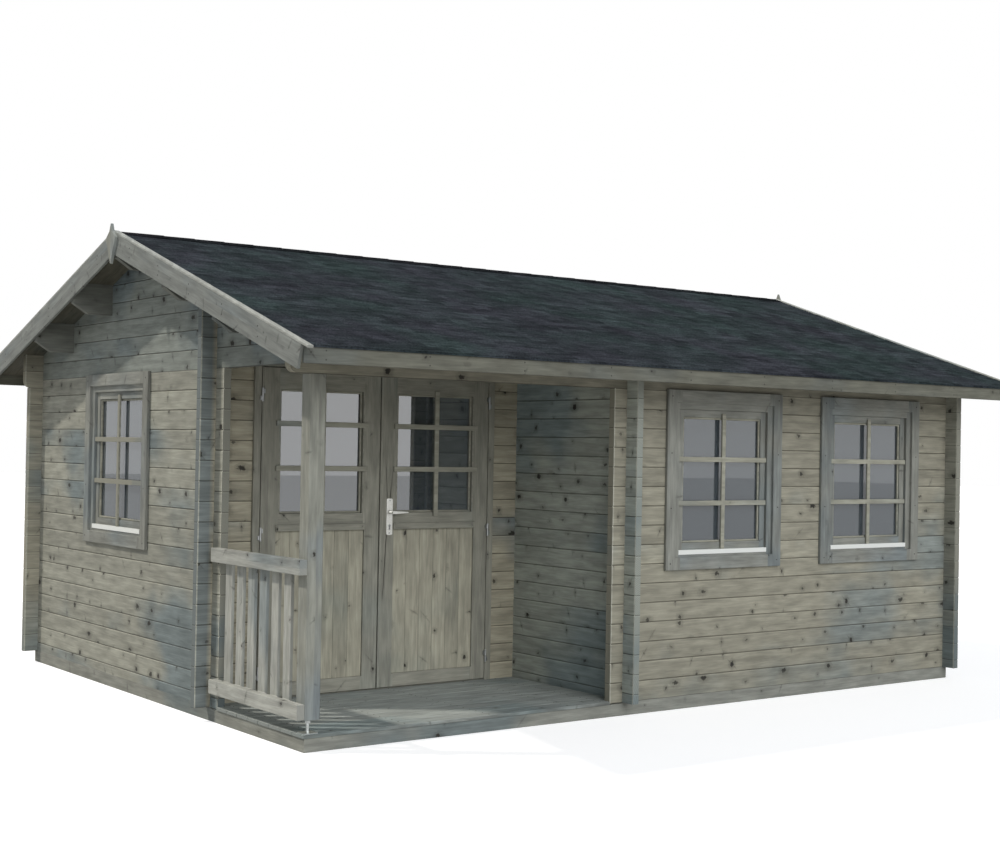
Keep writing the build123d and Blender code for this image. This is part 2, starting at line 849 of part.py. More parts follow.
# Balustrade, its rails planted on the outside of the post and of the gable log ends
with BuildPart() as balustrade:
    rail_end = y_door - log_overrun + rail_rear_lap
    with BuildSketch(side_plane(x_left)):
        for top in (top_rail_top, low_rail_top):
            with Locations(((y_front + rail_end) / 2, top - rail_depth / 2)):
                Rectangle(rail_end - y_front, rail_depth)
    extrude(amount=-rail_thick)
    with BuildSketch(side_plane(x_left)):
        baluster_low = low_rail_top - baluster_lap
        baluster_top = top_rail_top - rail_depth + baluster_lap
        opening_middle = (y_front + post_depth + y_door - log_overrun) / 2
        with Locations((opening_middle, (baluster_top + baluster_low) / 2)):
            with GridLocations(baluster_pitch, 0, baluster_count, 1):
                Rectangle(baluster_width, baluster_top - baluster_low)
    extrude(amount=baluster_thick)
save(balustrade, "balustrade")
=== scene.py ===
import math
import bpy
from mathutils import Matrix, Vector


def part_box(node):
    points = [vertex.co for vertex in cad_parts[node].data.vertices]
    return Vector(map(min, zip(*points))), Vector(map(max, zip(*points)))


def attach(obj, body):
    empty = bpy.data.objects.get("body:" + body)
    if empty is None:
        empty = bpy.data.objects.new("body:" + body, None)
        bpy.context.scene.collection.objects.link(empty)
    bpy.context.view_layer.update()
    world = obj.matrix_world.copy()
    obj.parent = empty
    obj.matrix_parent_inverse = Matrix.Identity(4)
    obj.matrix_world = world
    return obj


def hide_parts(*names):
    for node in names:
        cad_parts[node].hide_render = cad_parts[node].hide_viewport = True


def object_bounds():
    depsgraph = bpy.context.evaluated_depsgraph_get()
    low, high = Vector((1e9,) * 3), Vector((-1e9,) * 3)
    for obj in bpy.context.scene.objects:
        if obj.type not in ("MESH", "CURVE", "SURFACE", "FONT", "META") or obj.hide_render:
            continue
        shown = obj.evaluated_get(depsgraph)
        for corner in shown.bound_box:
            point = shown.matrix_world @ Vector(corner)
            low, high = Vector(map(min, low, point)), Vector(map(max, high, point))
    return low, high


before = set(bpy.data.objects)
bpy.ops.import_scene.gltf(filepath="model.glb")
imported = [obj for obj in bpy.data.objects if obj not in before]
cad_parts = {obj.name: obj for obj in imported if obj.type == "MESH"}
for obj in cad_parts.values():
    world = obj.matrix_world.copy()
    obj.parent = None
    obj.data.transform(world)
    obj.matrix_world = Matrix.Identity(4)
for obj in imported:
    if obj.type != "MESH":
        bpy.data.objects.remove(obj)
cad_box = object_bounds()

# %% [markdown]
# A log summer house: planed logs under a thin grey stain, crossed and locked at the
# corners, with a shingled roof and a small porch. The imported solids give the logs, roof,
# doors and windows. This file gives them their finish, and adds the small timber and
# metal pieces that are too fine for the solids. All lengths are metres, as in the scene.

# %% Tools and scale
from types import SimpleNamespace

import bmesh
import bpy
from mathutils import Matrix, Vector

MM = 0.001
scene = bpy.context.scene
scene.view_settings.view_transform = "Standard"
house_low, house_high = cad_box
print("the house measures", [round(b - a, 3) for a, b in zip(house_low, house_high)])

# %% [markdown]
# The view stands off the left front corner, at about eye level, and looks along the
# diagonal of the house. A camera can be turned by three angles. Here its turn is written
# as three directions, because those come straight from the lines of the logs, and a
# matrix takes them as its columns.

# %% The view
view_right = Vector((0.80245369, -0.59643764, 0.01817205))
view_up = Vector((-0.02190428, 0.00099005, 0.99975958))
view_ahead = Vector((0.59631224, 0.80265881, 0.01227007))
view_place = Vector((-6.38552, -8.65921, 1.54477))
lens_data = bpy.data.cameras.new("garden_view")
lens_data.sensor_fit = "HORIZONTAL"
lens_data.sensor_width = 36
lens_data.lens = 55.397
viewer = bpy.data.objects.new("garden_view", lens_data)
scene.collection.objects.link(viewer)
view_turn = Matrix((view_right, view_up, -view_ahead)).transposed().to_quaternion()
viewer.matrix_world = Matrix.LocRotScale(view_place, view_turn, None)
scene.camera = viewer
print("the view looks along", [round(v, 2) for v in view_ahead])

# %% [markdown]
# Every finish is built from shader nodes. They could be placed by hand, but a script can
# be read and run again. One helper turns the hex colours of a paint card into the linear
# numbers of a shader. One adds a node with its settings and links: the inputs come in
# the order of the sockets, or with a socket's name or number. One starts a material, and
# one joins a colour, a shade over it and a relief to its shader.

# %% Helpers for finishes
def linear(hex_colour):
    parts = [int(hex_colour[i:i + 2], 16) / 255 for i in (1, 3, 5)]
    return [p / 12.92 if p <= 0.04045 else ((p + 0.055) / 1.055) ** 2.4 for p in parts] + [1.0]


def add_node(tree, kind, inputs=(), operation=None, **settings):
    node = tree.nodes.new("ShaderNode" + kind)
    if operation:
        node.operation = operation
    for key, value in settings.items():
        setattr(node, key, value)
    for key, value in inputs.items() if isinstance(inputs, dict) else enumerate(inputs):
        if isinstance(value, bpy.types.Node):
            # A node stands for the first of its outputs that is in use.
            value = next(output for output in value.outputs if output.enabled)
        if isinstance(value, bpy.types.NodeSocket):
            tree.links.new(value, node.inputs[key])
        else:
            node.inputs[key].default_value = value
    return node


def new_finish(name, **shader_values):
    finish = bpy.data.materials.new(name)
    finish.use_nodes = True
    shader = finish.node_tree.nodes["Principled BSDF"]
    for key, value in shader_values.items():
        shader.inputs[key.replace("_", " ")].default_value = value
    return finish, finish.node_tree, shader


def join_up(tree, shader, colour, shade, height, strength, depth):
    shaded = add_node(tree, "Mix", {0: 1.0, 6: colour, 7: shade}, data_type="RGBA", blend_type="MULTIPLY")
    tree.links.new(shaded.outputs[2], shader.inputs["Base Color"])
    relief = add_node(tree, "Bump", {"Height": height, "Strength": strength, "Distance": depth})
    tree.links.new(relief.outputs[0], shader.inputs["Normal"])


WHITE = linear("#ffffff")
print("a mid grey of #808080 is", round(linear("#808080")[0], 3), "in linear light")

# %% [markdown]
# The house stands in front of white, under an even, pale blue sky. A picture of a sky
# could light it too, but a plain colour keeps the greys of the stain true. The camera,
# mirror rays and glass rays see white, and all other rays see the sky, so the white
# costs no extra light on the timber.

# %% White background
sky = bpy.data.worlds.new("even_sky")
scene.world = sky
sky.use_nodes = True
sky_tree = sky.node_tree
sky_tree.nodes.clear()
rays = add_node(sky_tree, "LightPath").outputs
seen = add_node(sky_tree, "Math", [rays["Is Camera Ray"], rays["Is Transmission Ray"]], "MAXIMUM")
seen = add_node(sky_tree, "Math", [seen, rays["Is Glossy Ray"]], "MAXIMUM")
sky_light = add_node(sky_tree, "Background", [linear("#dde7f6"), 0.40])
sky_seen = add_node(sky_tree, "Background", [WHITE, 1.0])
sky_mix = add_node(sky_tree, "MixShader", [seen, sky_light, sky_seen])
add_node(sky_tree, "OutputWorld", [sky_mix])
print("the sky has", len(sky_tree.nodes), "nodes")

# %% [markdown]
# The floor is a matt studio sheet that fades into the white. A bare sheet would come out
# grey next to the background, so it glows a little of its own for the camera and for
# mirror rays. It keeps the shadow of the house, so that the house stands on something.

# %% Studio floor
matt = dict(Roughness=0.9, Base_Color=linear("#c6c6c4"))
floor_finish, tree, shader = new_finish("studio_floor_matt_white", **matt)
rays = add_node(tree, "LightPath").outputs
glow = add_node(tree, "Emission", [WHITE, 0.62])
glow_or_none = add_node(tree, "MixShader", {0: rays["Is Camera Ray"], 2: glow})
lit = add_node(tree, "AddShader", [shader, glow_or_none])
mirrored = add_node(tree, "Emission", [WHITE, 0.66])
floor_mix = add_node(tree, "MixShader", [rays["Is Glossy Ray"], lit, mirrored])
tree.links.new(floor_mix.outputs[0], tree.nodes["Material Output"].inputs["Surface"])
bm = bmesh.new()
bmesh.ops.create_grid(bm, x_segments=1, y_segments=1, size=60)
floor_mesh = bpy.data.meshes.new("studio_floor")
bm.to_mesh(floor_mesh)
bm.free()
floor_mesh.materials.append(floor_finish)
studio_floor = bpy.data.objects.new("studio_floor", floor_mesh)
scene.collection.objects.link(studio_floor)
print("floor at height", round(house_low[2], 4))

# %% [markdown]
# Two lamps light the house. A very wide soft sun in front gives the walls their even
# tone. A small sun from the left and behind throws the shadow of the roof across the
# gable and a patch of light over the porch deck. Suns were chosen over area lamps,
# because their light stays the same along the whole wall.

# %% Lamps
def sun(name, towards, strength, width, colour):
    lamp = bpy.data.lights.new(name, "SUN")
    lamp.energy = strength
    lamp.angle = math.radians(width)
    lamp.color = linear(colour)[:3]
    holder = bpy.data.objects.new(name, lamp)
    scene.collection.objects.link(holder)
    holder.rotation_euler = Vector(towards).to_track_quat("Z", "Y").to_euler()
    return holder


soft_sun = sun("soft_front_sun", (-0.10, -0.90, 0.50), 2.1, 55, "#fcfcff")
low_sun = sun("low_left_sun", (-0.65, 0.45, 1.0), 2.6, 2.5, "#fff8f0")
# Glass rays seldom meet so small a sun, and would leave white specks on the panes.
low_sun.visible_transmission = False
print("lamps:", soft_sun.data.energy, low_sun.data.energy)

# %% [markdown]
# Stained spruce is the main finish: planed timber under a thin grey stain. Pictures of
# boards could be laid on it, but they would stretch and repeat over so many logs. One
# recipe of nodes covers every piece instead, and starts from the place on the piece in
# metres. Its first step turns that place so that X runs with the grain. Side members
# of a frame stand, so beyond a given line the grain is turned upright. Bearers lie both
# ways, so on faces that look along the house their grain is turned too.

# %% Grain direction
ALONG_X = (0.0, 0.0, 0.0)
ALONG_Y = (0.0, 0.0, -math.pi / 2)
ALONG_Z = (0.0, math.pi / 2, 0.0)
LOOKS_ALONG = 0.7


def lay_grain(tree, turn, upright, side_turn):
    source = add_node(tree, "TexCoord").outputs
    vectors = source["Object"], source["Normal"]
    laid = [add_node(tree, "Mapping", {"Vector": v, "Rotation": turn}) for v in vectors]
    if upright is None and side_turn is None:
        return vectors[0], *laid
    if side_turn is None:
        axis, middle, limit = upright
        other_turn = ALONG_Z
        axes = add_node(tree, "SeparateXYZ", [vectors[0]]).outputs
        off = add_node(tree, "Math", [axes[axis], middle], "SUBTRACT")
    else:
        limit = LOOKS_ALONG
        other_turn = side_turn
        off = add_node(tree, "SeparateXYZ", [vectors[1]]).outputs["X"]
    away = add_node(tree, "Math", [off], "ABSOLUTE")
    beyond = add_node(tree, "Math", [away, limit], "GREATER_THAN")
    others = [add_node(tree, "Mapping", {"Vector": v, "Rotation": other_turn}) for v in vectors]
    sets = [{0: beyond, 4: first, 5: other} for first, other in zip(laid, others)]
    return vectors[0], *[add_node(tree, "Mix", values, data_type="VECTOR") for values in sets]


print("grain turns:", ALONG_X, ALONG_Y, ALONG_Z)

# %% [markdown]
# Each log was a tree of its own, so it has its own tone and knots. The walls are single
# solids and could be cut into logs, but counting is lighter: the height above the first
# joint, divided by the height of a log, gives the log's number. White noise turns that
# into three lucks between 0 and 1, which shift the pattern along and across. Timber that
# is not counted changes its luck at wide steps instead.

# %% Board numbers
LONE_STEP = 0.6
WALL_STEP = 0.3
SHIFT_ALONG = 9.0
SHIFT_ACROSS = 5.0


def count_boards(tree, place, laid, pitch, start, stack):
    axes = add_node(tree, "SeparateXYZ", [laid]).outputs
    across = add_node(tree, "Math", [axes["Z"], axes["Y"]], "ADD")
    wood = SimpleNamespace(place=place, axes=axes, along=axes["X"], across=across)
    if pitch:
        raised = add_node(tree, "Math", [axes[stack], start], "SUBTRACT")
        counted = add_node(tree, "Math", [raised, pitch], "DIVIDE")
        board = add_node(tree, "Math", [counted], "FLOOR")
        wood.within = add_node(tree, "Math", [counted, board], "SUBTRACT")
    else:
        board = add_node(tree, "Math", [across, LONE_STEP], "SNAP")
    depth = axes["Y" if stack == "Z" else "Z"]
    wood.wall = add_node(tree, "Math", [depth, WALL_STEP], "SNAP")
    number = add_node(tree, "CombineXYZ", [board, wood.wall, 0.37])
    luck = add_node(tree, "TexWhiteNoise", [number], noise_dimensions="3D")
    wood.lucks = add_node(tree, "SeparateColor", [luck.outputs["Color"]]).outputs
    shifted = add_node(tree, "Math", [wood.lucks[0], SHIFT_ALONG, wood.along], "MULTIPLY_ADD")
    row = add_node(tree, "Math", [wood.lucks[1], SHIFT_ACROSS, across], "MULTIPLY_ADD")
    wood.grain = add_node(tree, "CombineXYZ", [shifted, row, 0.0])
    return wood


print("timber that is not counted changes every", LONE_STEP, "m")

# %% [markdown]
# Rain and sun turn the stain cool in soft patches, mostly low down where rain splashes
# up. Log ends that stand outside the porch are painted cool and darker, as painted
# shade. The patches could be painted by hand.
# A noise of about a metre, drawn out over several boards, gives every wall its own
# patches with no seam, and its threshold says how much of the wall has turned cool.

# %% Stain colours
SMOOTH = dict(interpolation_type="SMOOTHSTEP")
CLOUDS_PER_METRE = 1.1
COOL_FROM = 0.72
COOL_FULL = 0.90
SPLASH_TOP = 1.3
SPLASH_FULL = 0.1


def stain_colour(tree, wood, warm, cool, cloud, damp, painted_shade_before):
    place = add_node(tree, "CombineXYZ", [wood.along, wood.across, wood.wall])
    values = {"Vector": place, "Scale": CLOUDS_PER_METRE, "Detail": 3.0, "Roughness": 0.5}
    clouds = add_node(tree, "TexNoise", values)
    lean = add_node(tree, "Math", [wood.lucks[2], 0.12, clouds], "MULTIPLY_ADD")
    if damp:
        height = add_node(tree, "SeparateXYZ", [wood.place]).outputs["Z"]
        splash = add_node(tree, "MapRange", [height, SPLASH_TOP, SPLASH_FULL, -0.05, damp])
        lean = add_node(tree, "Math", [lean, splash], "ADD")
    limits = [lean, COOL_FROM - 0.3 * cloud, COOL_FULL - 0.3 * cloud]
    cool_part = add_node(tree, "MapRange", limits, **SMOOTH)
    # Painted shade: log ends outside the porch take the cool, darker tone.
    if painted_shade_before is not None:
        outside = add_node(tree, "MapRange", [wood.along, painted_shade_before, painted_shade_before - 0.03])
        cool_part = add_node(tree, "Math", [cool_part, outside], "MAXIMUM")
    return add_node(tree, "Mix", {0: cool_part, 6: linear(warm), 7: linear(cool)}, data_type="RGBA")


print("a patch is about", round(1 / CLOUDS_PER_METRE, 1), "m long")

# %% [markdown]
# Planed spruce shows its growth in long streaks. Three noises are drawn out along the
# board: mottling 45 mm wide, a figure 20 mm wide and fibres 5 mm wide. Real fibres are
# far finer and would be finer than a pixel. They only lighten and darken the stain, so
# its hue stays true. Each board has a tone of its own as well. The long walls are
# painted darker towards the eave, as painted shade of the roof overhang.

# %% Grain shades
# Drawn out along and across the board, detail, distortion, darkest and palest shade.
GRAINS = (
    ((5.0, 22.0, 1.0), 3.0, 0.0, 0.83, 1.13),
    ((3.0, 50.0, 1.0), 3.0, 0.8, 0.88, 1.11),
    ((9.0, 200.0, 1.0), 2.0, 0.0, 0.93, 1.05),
)
# Noise seldom leaves this range, so it is stretched from here to the darkest and palest.
NOISE_LOW = 0.3
NOISE_HIGH = 0.7
EAVE_SHADE_FROM = 0.95
EAVE_SHADE_FULL = 1.75


def grain_shades(tree, wood, eave_shade):
    shade = add_node(tree, "Math", [wood.lucks[0], 0.20, 0.89], "MULTIPLY_ADD")
    # Painted shade: towards the eave the logs are painted darker, for the shade of the overhang.
    if eave_shade < 1.0:
        height = add_node(tree, "SeparateXYZ", [wood.place]).outputs["Z"]
        limits = [height, EAVE_SHADE_FROM, EAVE_SHADE_FULL, 1.0, eave_shade]
        kept = add_node(tree, "MapRange", limits, **SMOOTH)
        shade = add_node(tree, "Math", [shade, kept], "MULTIPLY")
    patterns = []
    for drawn, detail, distortion, darkest, palest in GRAINS:
        place = add_node(tree, "Mapping", {"Vector": wood.grain, "Scale": drawn})
        values = {"Vector": place, "Scale": 1.0, "Detail": detail, "Distortion": distortion}
        patterns.append(add_node(tree, "TexNoise", values, noise_dimensions="2D"))
        limits = [patterns[-1], NOISE_LOW, NOISE_HIGH, darkest, palest]
        shade = add_node(tree, "Math", [shade, add_node(tree, "MapRange", limits)], "MULTIPLY")
    return shade, patterns


print("grain patterns are", [round(1000 / drawn[1]) for drawn, *rest in GRAINS], "mm wide")

# %% [markdown]
# A knot is the foot of a branch. It could be modelled as a plug, but a pattern of cells
# is enough: each cell of the board holds one point, and some cells stay clear. The way
# from the point is turned into millimetres, so a knot's sizes read as on a real board. A
# fine noise makes the outline wander.

# %% Where knots sit
def find_knots(tree, wood, gap, row, share, radius):
    place = add_node(tree, "Mapping", {"Vector": wood.grain, "Scale": (1 / gap, 1 / row, 1.0)})
    values = {"Vector": place, "Scale": 1.0, "Randomness": 0.9}
    cells = add_node(tree, "TexVoronoi", values, voronoi_dimensions="2D")
    off = add_node(tree, "VectorMath", [place, cells.outputs["Position"]], "SUBTRACT")
    knot = SimpleNamespace(radius=radius)
    knot.off = add_node(tree, "VectorMath", [off, (gap / MM, row / MM, 0.0)], "MULTIPLY")
    knot.lucks = add_node(tree, "SeparateColor", [cells.outputs["Color"]]).outputs
    knot.present = add_node(tree, "Math", [knot.lucks[0], share], "LESS_THAN")
    values = {"Vector": wood.grain, "Scale": 60.0, "Detail": 3.0, "Roughness": 0.6}
    knot.wander = add_node(tree, "TexNoise", values, noise_dimensions="2D")
    return knot


# Length and width of a cell, share of cells with a knot, and size of a knot.
KNOTS = (0.22, 0.115, 0.82, 9.5)
print("a log has a knot in", KNOTS[2], "of its cells")

# %% [markdown]
# A knot is nearly black in the middle and has a soft halo, where the stain soaked in. Some
# are round and some are oval. Where a side branch was cut lengthwise, a slanting streak
# crosses the knot. The darkest of the three wins at each place, and each knot has a
# strength of its own. Sizes are in millimetres.

# %% How knots look
RAGGED = 26.0
LARGER = 12.0


def knot_spot(tree, knot):
    stretch = add_node(tree, "Math", [knot.lucks[2], 0.8, 0.55], "MULTIPLY_ADD")
    squeeze = add_node(tree, "CombineXYZ", [stretch, 1.0, 0.0])
    oval = add_node(tree, "VectorMath", [knot.off, squeeze], "MULTIPLY")
    reach = add_node(tree, "VectorMath", [oval], "LENGTH")
    ragged = add_node(tree, "Math", [knot.wander, RAGGED, reach], "MULTIPLY_ADD")
    # Squared luck makes large knots rare.
    luck_squared = add_node(tree, "Math", [knot.lucks[1], 2.0], "POWER")
    sizes = [luck_squared, knot.radius * 1.6, knot.radius + LARGER]
    size = add_node(tree, "Math", sizes, "MULTIPLY_ADD")
    wide = add_node(tree, "Math", [size, 1.75], "MULTIPLY")
    inner = add_node(tree, "Math", [size, 0.66], "MULTIPLY")
    core = add_node(tree, "MapRange", [ragged, size, inner], **SMOOTH)
    halo = add_node(tree, "MapRange", [ragged, wide, size, 0.0, 0.27], **SMOOTH)
    return add_node(tree, "Math", [core, halo], "MAXIMUM")


def knot_streak(tree, knot):
    gaps = add_node(tree, "SeparateXYZ", [knot.off]).outputs
    slant = add_node(tree, "Math", [knot.lucks[1], 2.4, -1.2], "MULTIPLY_ADD")
    slanted = add_node(tree, "Math", [gaps["Y"], slant, gaps["X"]], "MULTIPLY_ADD")
    off_line = add_node(tree, "Math", [slanted], "ABSOLUTE")
    off_line = add_node(tree, "Math", [knot.wander, 12.0, off_line], "MULTIPLY_ADD")
    thin = add_node(tree, "MapRange", [off_line, 15.0, 7.0, 0.0, 0.55])
    gap_across = add_node(tree, "Math", [gaps["Y"]], "ABSOLUTE")
    short = add_node(tree, "MapRange", [gap_across, 42.0, 14.0])
    streaky = add_node(tree, "Math", [knot.lucks[2], 0.68], "GREATER_THAN")
    streak = add_node(tree, "Math", [thin, short], "MULTIPLY")
    return add_node(tree, "Math", [streak, streaky], "MULTIPLY")


def knot_darkness(tree, wood, knots, side_face):
    knot = find_knots(tree, wood, *knots)
    looks = [knot_spot(tree, knot), knot_streak(tree, knot)]
    dark = add_node(tree, "Math", looks, "MAXIMUM")
    strength = add_node(tree, "Math", [knot.lucks[1], 0.45, 0.55], "MULTIPLY_ADD")
    for part in (knot.present, side_face, strength):
        dark = add_node(tree, "Math", [dark, part], "MULTIPLY")
    return dark


print("the largest knots are about", round(2 * (KNOTS[3] * 2.6 + LARGER - RAGGED / 2)), "mm wide")

# %% [markdown]
# A sawn end shows growth rings, 7 mm apart here and finer in real spruce, and is darker
# than the side, because it drinks more stain. They could be cut in, but a ring pattern
# needs no new shape. Dirt and shade gather in the joint between two logs. The upper arris
# of each log and the last few millimetres beside a sawn end are painted pale, as painted
# highlights where the edges catch the light.

# %% Ends and joints
RINGS_SCALE = 45.0
RING_DARK = 0.72
RING_PALE = 0.90
JOINT_DIRT = "#3a382f"
END_HIGHLIGHT = "#b4b4a6"


def end_grain(tree, wood, side_face, shade):
    place = add_node(tree, "CombineXYZ", [wood.axes["Y"], wood.axes["Z"], wood.lucks[1]])
    values = {"Vector": place, "Scale": RINGS_SCALE, "Distortion": 2.0}
    rings = add_node(tree, "TexWave", values, wave_type="RINGS", rings_direction="SPHERICAL")
    ring_shade = add_node(tree, "MapRange", {0: rings.outputs["Fac"], 3: RING_DARK, 4: RING_PALE})
    return add_node(tree, "Mix", {0: side_face, 2: ring_shade, 3: shade})


def joint_lines(tree, wood, colour, shade, mottle, share, rim_light):
    # Painted highlight: the upper arris of each log is painted paler, where it would catch the light.
    limits = [wood.within, 1 - 2.6 * share, 1 - 1.2 * share, 1.0, 1.0 + rim_light]
    shade = add_node(tree, "Math", [shade, add_node(tree, "MapRange", limits)], "MULTIPLY")
    swell = add_node(tree, "Math", [mottle, 0.016, wood.within], "MULTIPLY_ADD")
    edge = add_node(tree, "Math", [swell, 0.508], "SUBTRACT")
    near_edge = add_node(tree, "Math", [edge], "ABSOLUTE")
    limits = [near_edge, 0.5 - share, 0.5 - 0.35 * share, 0.0, 0.6]
    line = add_node(tree, "MapRange", limits, **SMOOTH)
    colour = add_node(tree, "Mix", {0: line, 6: colour, 7: linear(JOINT_DIRT)}, data_type="RGBA")
    return colour, shade


def paint_end_highlights(tree, wood, colour, side_face, ends):
    low_end, high_end = ends
    from_low = add_node(tree, "Math", [wood.along, low_end], "SUBTRACT")
    from_high = add_node(tree, "Math", [high_end, wood.along], "SUBTRACT")
    nearest = add_node(tree, "Math", [from_low, from_high], "MINIMUM")
    # Painted highlight: the last millimetres beside a sawn end are painted pale.
    end_highlight = add_node(tree, "MapRange", [nearest, 0.010, 0.004, 0.0, 0.75])
    end_highlight = add_node(tree, "Math", [end_highlight, side_face], "MULTIPLY")
    return add_node(tree, "Mix", {0: end_highlight, 6: colour, 7: linear(END_HIGHLIGHT)}, data_type="RGBA")


print("rings are", round(2 * math.pi / (20 * RINGS_SCALE) / MM, 1), "mm apart")

# %% [markdown]
# The recipe lays the steps over each other: stain, grain and knots, sawn ends, joints and
# painted highlights. A painter would work in the same order. The finish is matt with a
# weak sheen, and a shallow relief of fibres breaks it up, so the eye reads dry planed
# timber and not paint. Calls name what differs: the direction, two tones, knots and joints.

# %% Stained timber recipe
KNOT_DARK = "#2c2a25"
SIDE_LIMIT = 0.85


def stained_timber(
    name, turn, warm, cool, cloud=0.5, damp=0.0, painted_shade_before=None, eave_shade=1.0, knots=KNOTS,
    pitch=0.0, start=0.0, stack="Z", joint=0.0, rim_light=0.22, upright=None, side_turn=None, ends=None,
):
    finish, tree, shader = new_finish(name, Roughness=0.78, Specular_IOR_Level=0.3)
    place, laid, facing = lay_grain(tree, turn, upright, side_turn)
    wood = count_boards(tree, place, laid, pitch, start, stack)
    facing_along = add_node(tree, "SeparateXYZ", [facing]).outputs["X"]
    end_on = add_node(tree, "Math", [facing_along], "ABSOLUTE")
    side_face = add_node(tree, "Math", [end_on, SIDE_LIMIT], "LESS_THAN")
    colour = stain_colour(tree, wood, warm, cool, cloud, damp, painted_shade_before)
    shade, (mottle, _, fibre) = grain_shades(tree, wood, eave_shade)
    dark = knot_darkness(tree, wood, knots, side_face)
    colour = add_node(tree, "Mix", {0: dark, 6: colour, 7: linear(KNOT_DARK)}, data_type="RGBA")
    shade = end_grain(tree, wood, side_face, shade)
    if joint:
        colour, shade = joint_lines(tree, wood, colour, shade, mottle, joint * MM / pitch, rim_light)
    if ends is not None:
        colour = paint_end_highlights(tree, wood, colour, side_face, ends)
    lift = add_node(tree, "Math", [dark, -0.6, fibre], "MULTIPLY_ADD")
    join_up(tree, shader, colour, shade, lift, 0.35, 0.0012)
    return finish


def dress(node, finish):
    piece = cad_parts[node]
    piece.data.materials.clear()
    piece.data.materials.append(finish)


print("a sawn end looks within", round(math.degrees(math.acos(SIDE_LIMIT))), "degrees of the grain")

# %% [markdown]
# The logs are 114 mm high. The long walls start with a whole course on the bearers, and
# the cross walls start with a half course, which is what lets the corners lock. Each log
# could have a material of its own, but one for each wall is enough: it counts courses
# from the same height as the solids, so a log's tone never crosses a joint. Inside the
# porch the stain is still warm, and the log ends outside it are painted cool and darker,
# as painted shade.

# %% Log walls
COURSE = 0.114
LOG_JOINT = 4.0
BEARER_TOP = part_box("front_wall")[0].z
# The long walls take painted shade under the eave.
LONG = dict(warm="#918e7e", cool="#7a807b", damp=0.12, eave_shade=0.83)
PORCH = dict(warm="#9a9582", cool="#6f7674", cloud=0.1, painted_shade_before=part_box("left_gable_wall")[0].x)
CROSS = dict(warm="#8a8a7e", cool="#6b7473", cloud=0.55, damp=0.10)
LONG_WALLS = {
    "front_wall": LONG, "rear_wall": LONG, "front_plate_logs": LONG, "rear_plate_logs": LONG,
    "door_wall_left": PORCH, "door_wall_right": PORCH, "door_wall_top": PORCH,
}
CROSS_WALLS = {
    "left_gable_wall": CROSS, "right_gable_wall": CROSS,
    # Painted shade: the top of the left gable gets darker, cooler tones for the shadow of the roof.
    "left_gable_top": dict(warm="#7b8079", cool="#667173", cloud=0.7),
    "porch_side_wall": dict(warm="#969a90", cool="#7c8786", cloud=0.6),
}
for walls, turn, axis, start in (
    (LONG_WALLS, ALONG_X, "x", BEARER_TOP), (CROSS_WALLS, ALONG_Y, "y", BEARER_TOP - COURSE / 2),
):
    for node, tones in walls.items():
        ends = [getattr(corner, axis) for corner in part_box(node)]
        counted = dict(pitch=COURSE, start=start, joint=LOG_JOINT, ends=ends)
        dress(node, stained_timber("stained_planed_log_" + node, turn, **counted, **tones))
print(len(LONG_WALLS) + len(CROSS_WALLS), "walls dressed")

# %% [markdown]
# Planed single timbers are smoother than the logs and have smaller knots. They take the
# same recipe, turned so that the grain runs along the piece, and a table is the shortest
# way to say which tones and knots each gets. What lies in the shade of the roof is
# painted darker, as painted shade, and the cap strips on top of the barge boards are
# bleached.

# %% Planed timbers
SLOPE = math.radians(18.4)
DOWN_FRONT = (-SLOPE, 0.0, -math.pi / 2)
DOWN_REAR = (SLOPE, 0.0, -math.pi / 2)
FINE_KNOTS = (0.22, 0.09, 0.6, 4.0)
BARGE_KNOTS = (0.13, 0.08, 0.75, 3.0)
PURLINS = ["purlin_" + end for end in ("front_outer", "front_inner", "ridge", "rear_inner", "rear_outer")]
CAPS = ["barge_caps_front", "barge_caps_rear"]
PLANED = (
    # Painted shade: purlins and fascias lie under the roof and take darker tones.
    ("stained_purlin", ALONG_X, "#696b64", "#5d6462", (0.3, 0.09, 0.55, 5.0), PURLINS),
    ("stained_planed_timber_crossways", ALONG_Y, "#7a7a6d", "#6e736c", FINE_KNOTS, ["floor_joists"]),
    ("stained_fascia", ALONG_X, "#65655a", "#5b5f5b", FINE_KNOTS, ["fascia_front", "fascia_rear"]),
    ("stained_barge_board_front", DOWN_FRONT, "#727570", "#676e6e", BARGE_KNOTS, ["barge_boards_front"]),
    ("stained_barge_board_rear", DOWN_REAR, "#727570", "#676e6e", BARGE_KNOTS, ["barge_boards_rear"]),
    ("stained_cap_strip", ALONG_Y, "#94968f", "#888d8a", (0.5, 0.1, 0.2, 2.0), CAPS),
    ("stained_planed_post", ALONG_Z, "#84857b", "#798080", (0.3, 0.09, 0.6, 6.0), ["finials", "corner_post"]),
)
for name, turn, warm, cool, knots, nodes in PLANED:
    finish = stained_timber(name, turn, warm, cool, knots=knots)
    for node in nodes:
        dress(node, finish)
print(sum(len(row[-1]) for row in PLANED), "planed timbers dressed")

# %% [markdown]
# Three more timbers need a word of their own. The balustrade has lying rails and upright
# balusters, so its grain turns beside the rails and changes with every baluster. The
# bearers lie round the house both ways. The room floor is kept dry, so it is the one
# place where the spruce is still yellow.

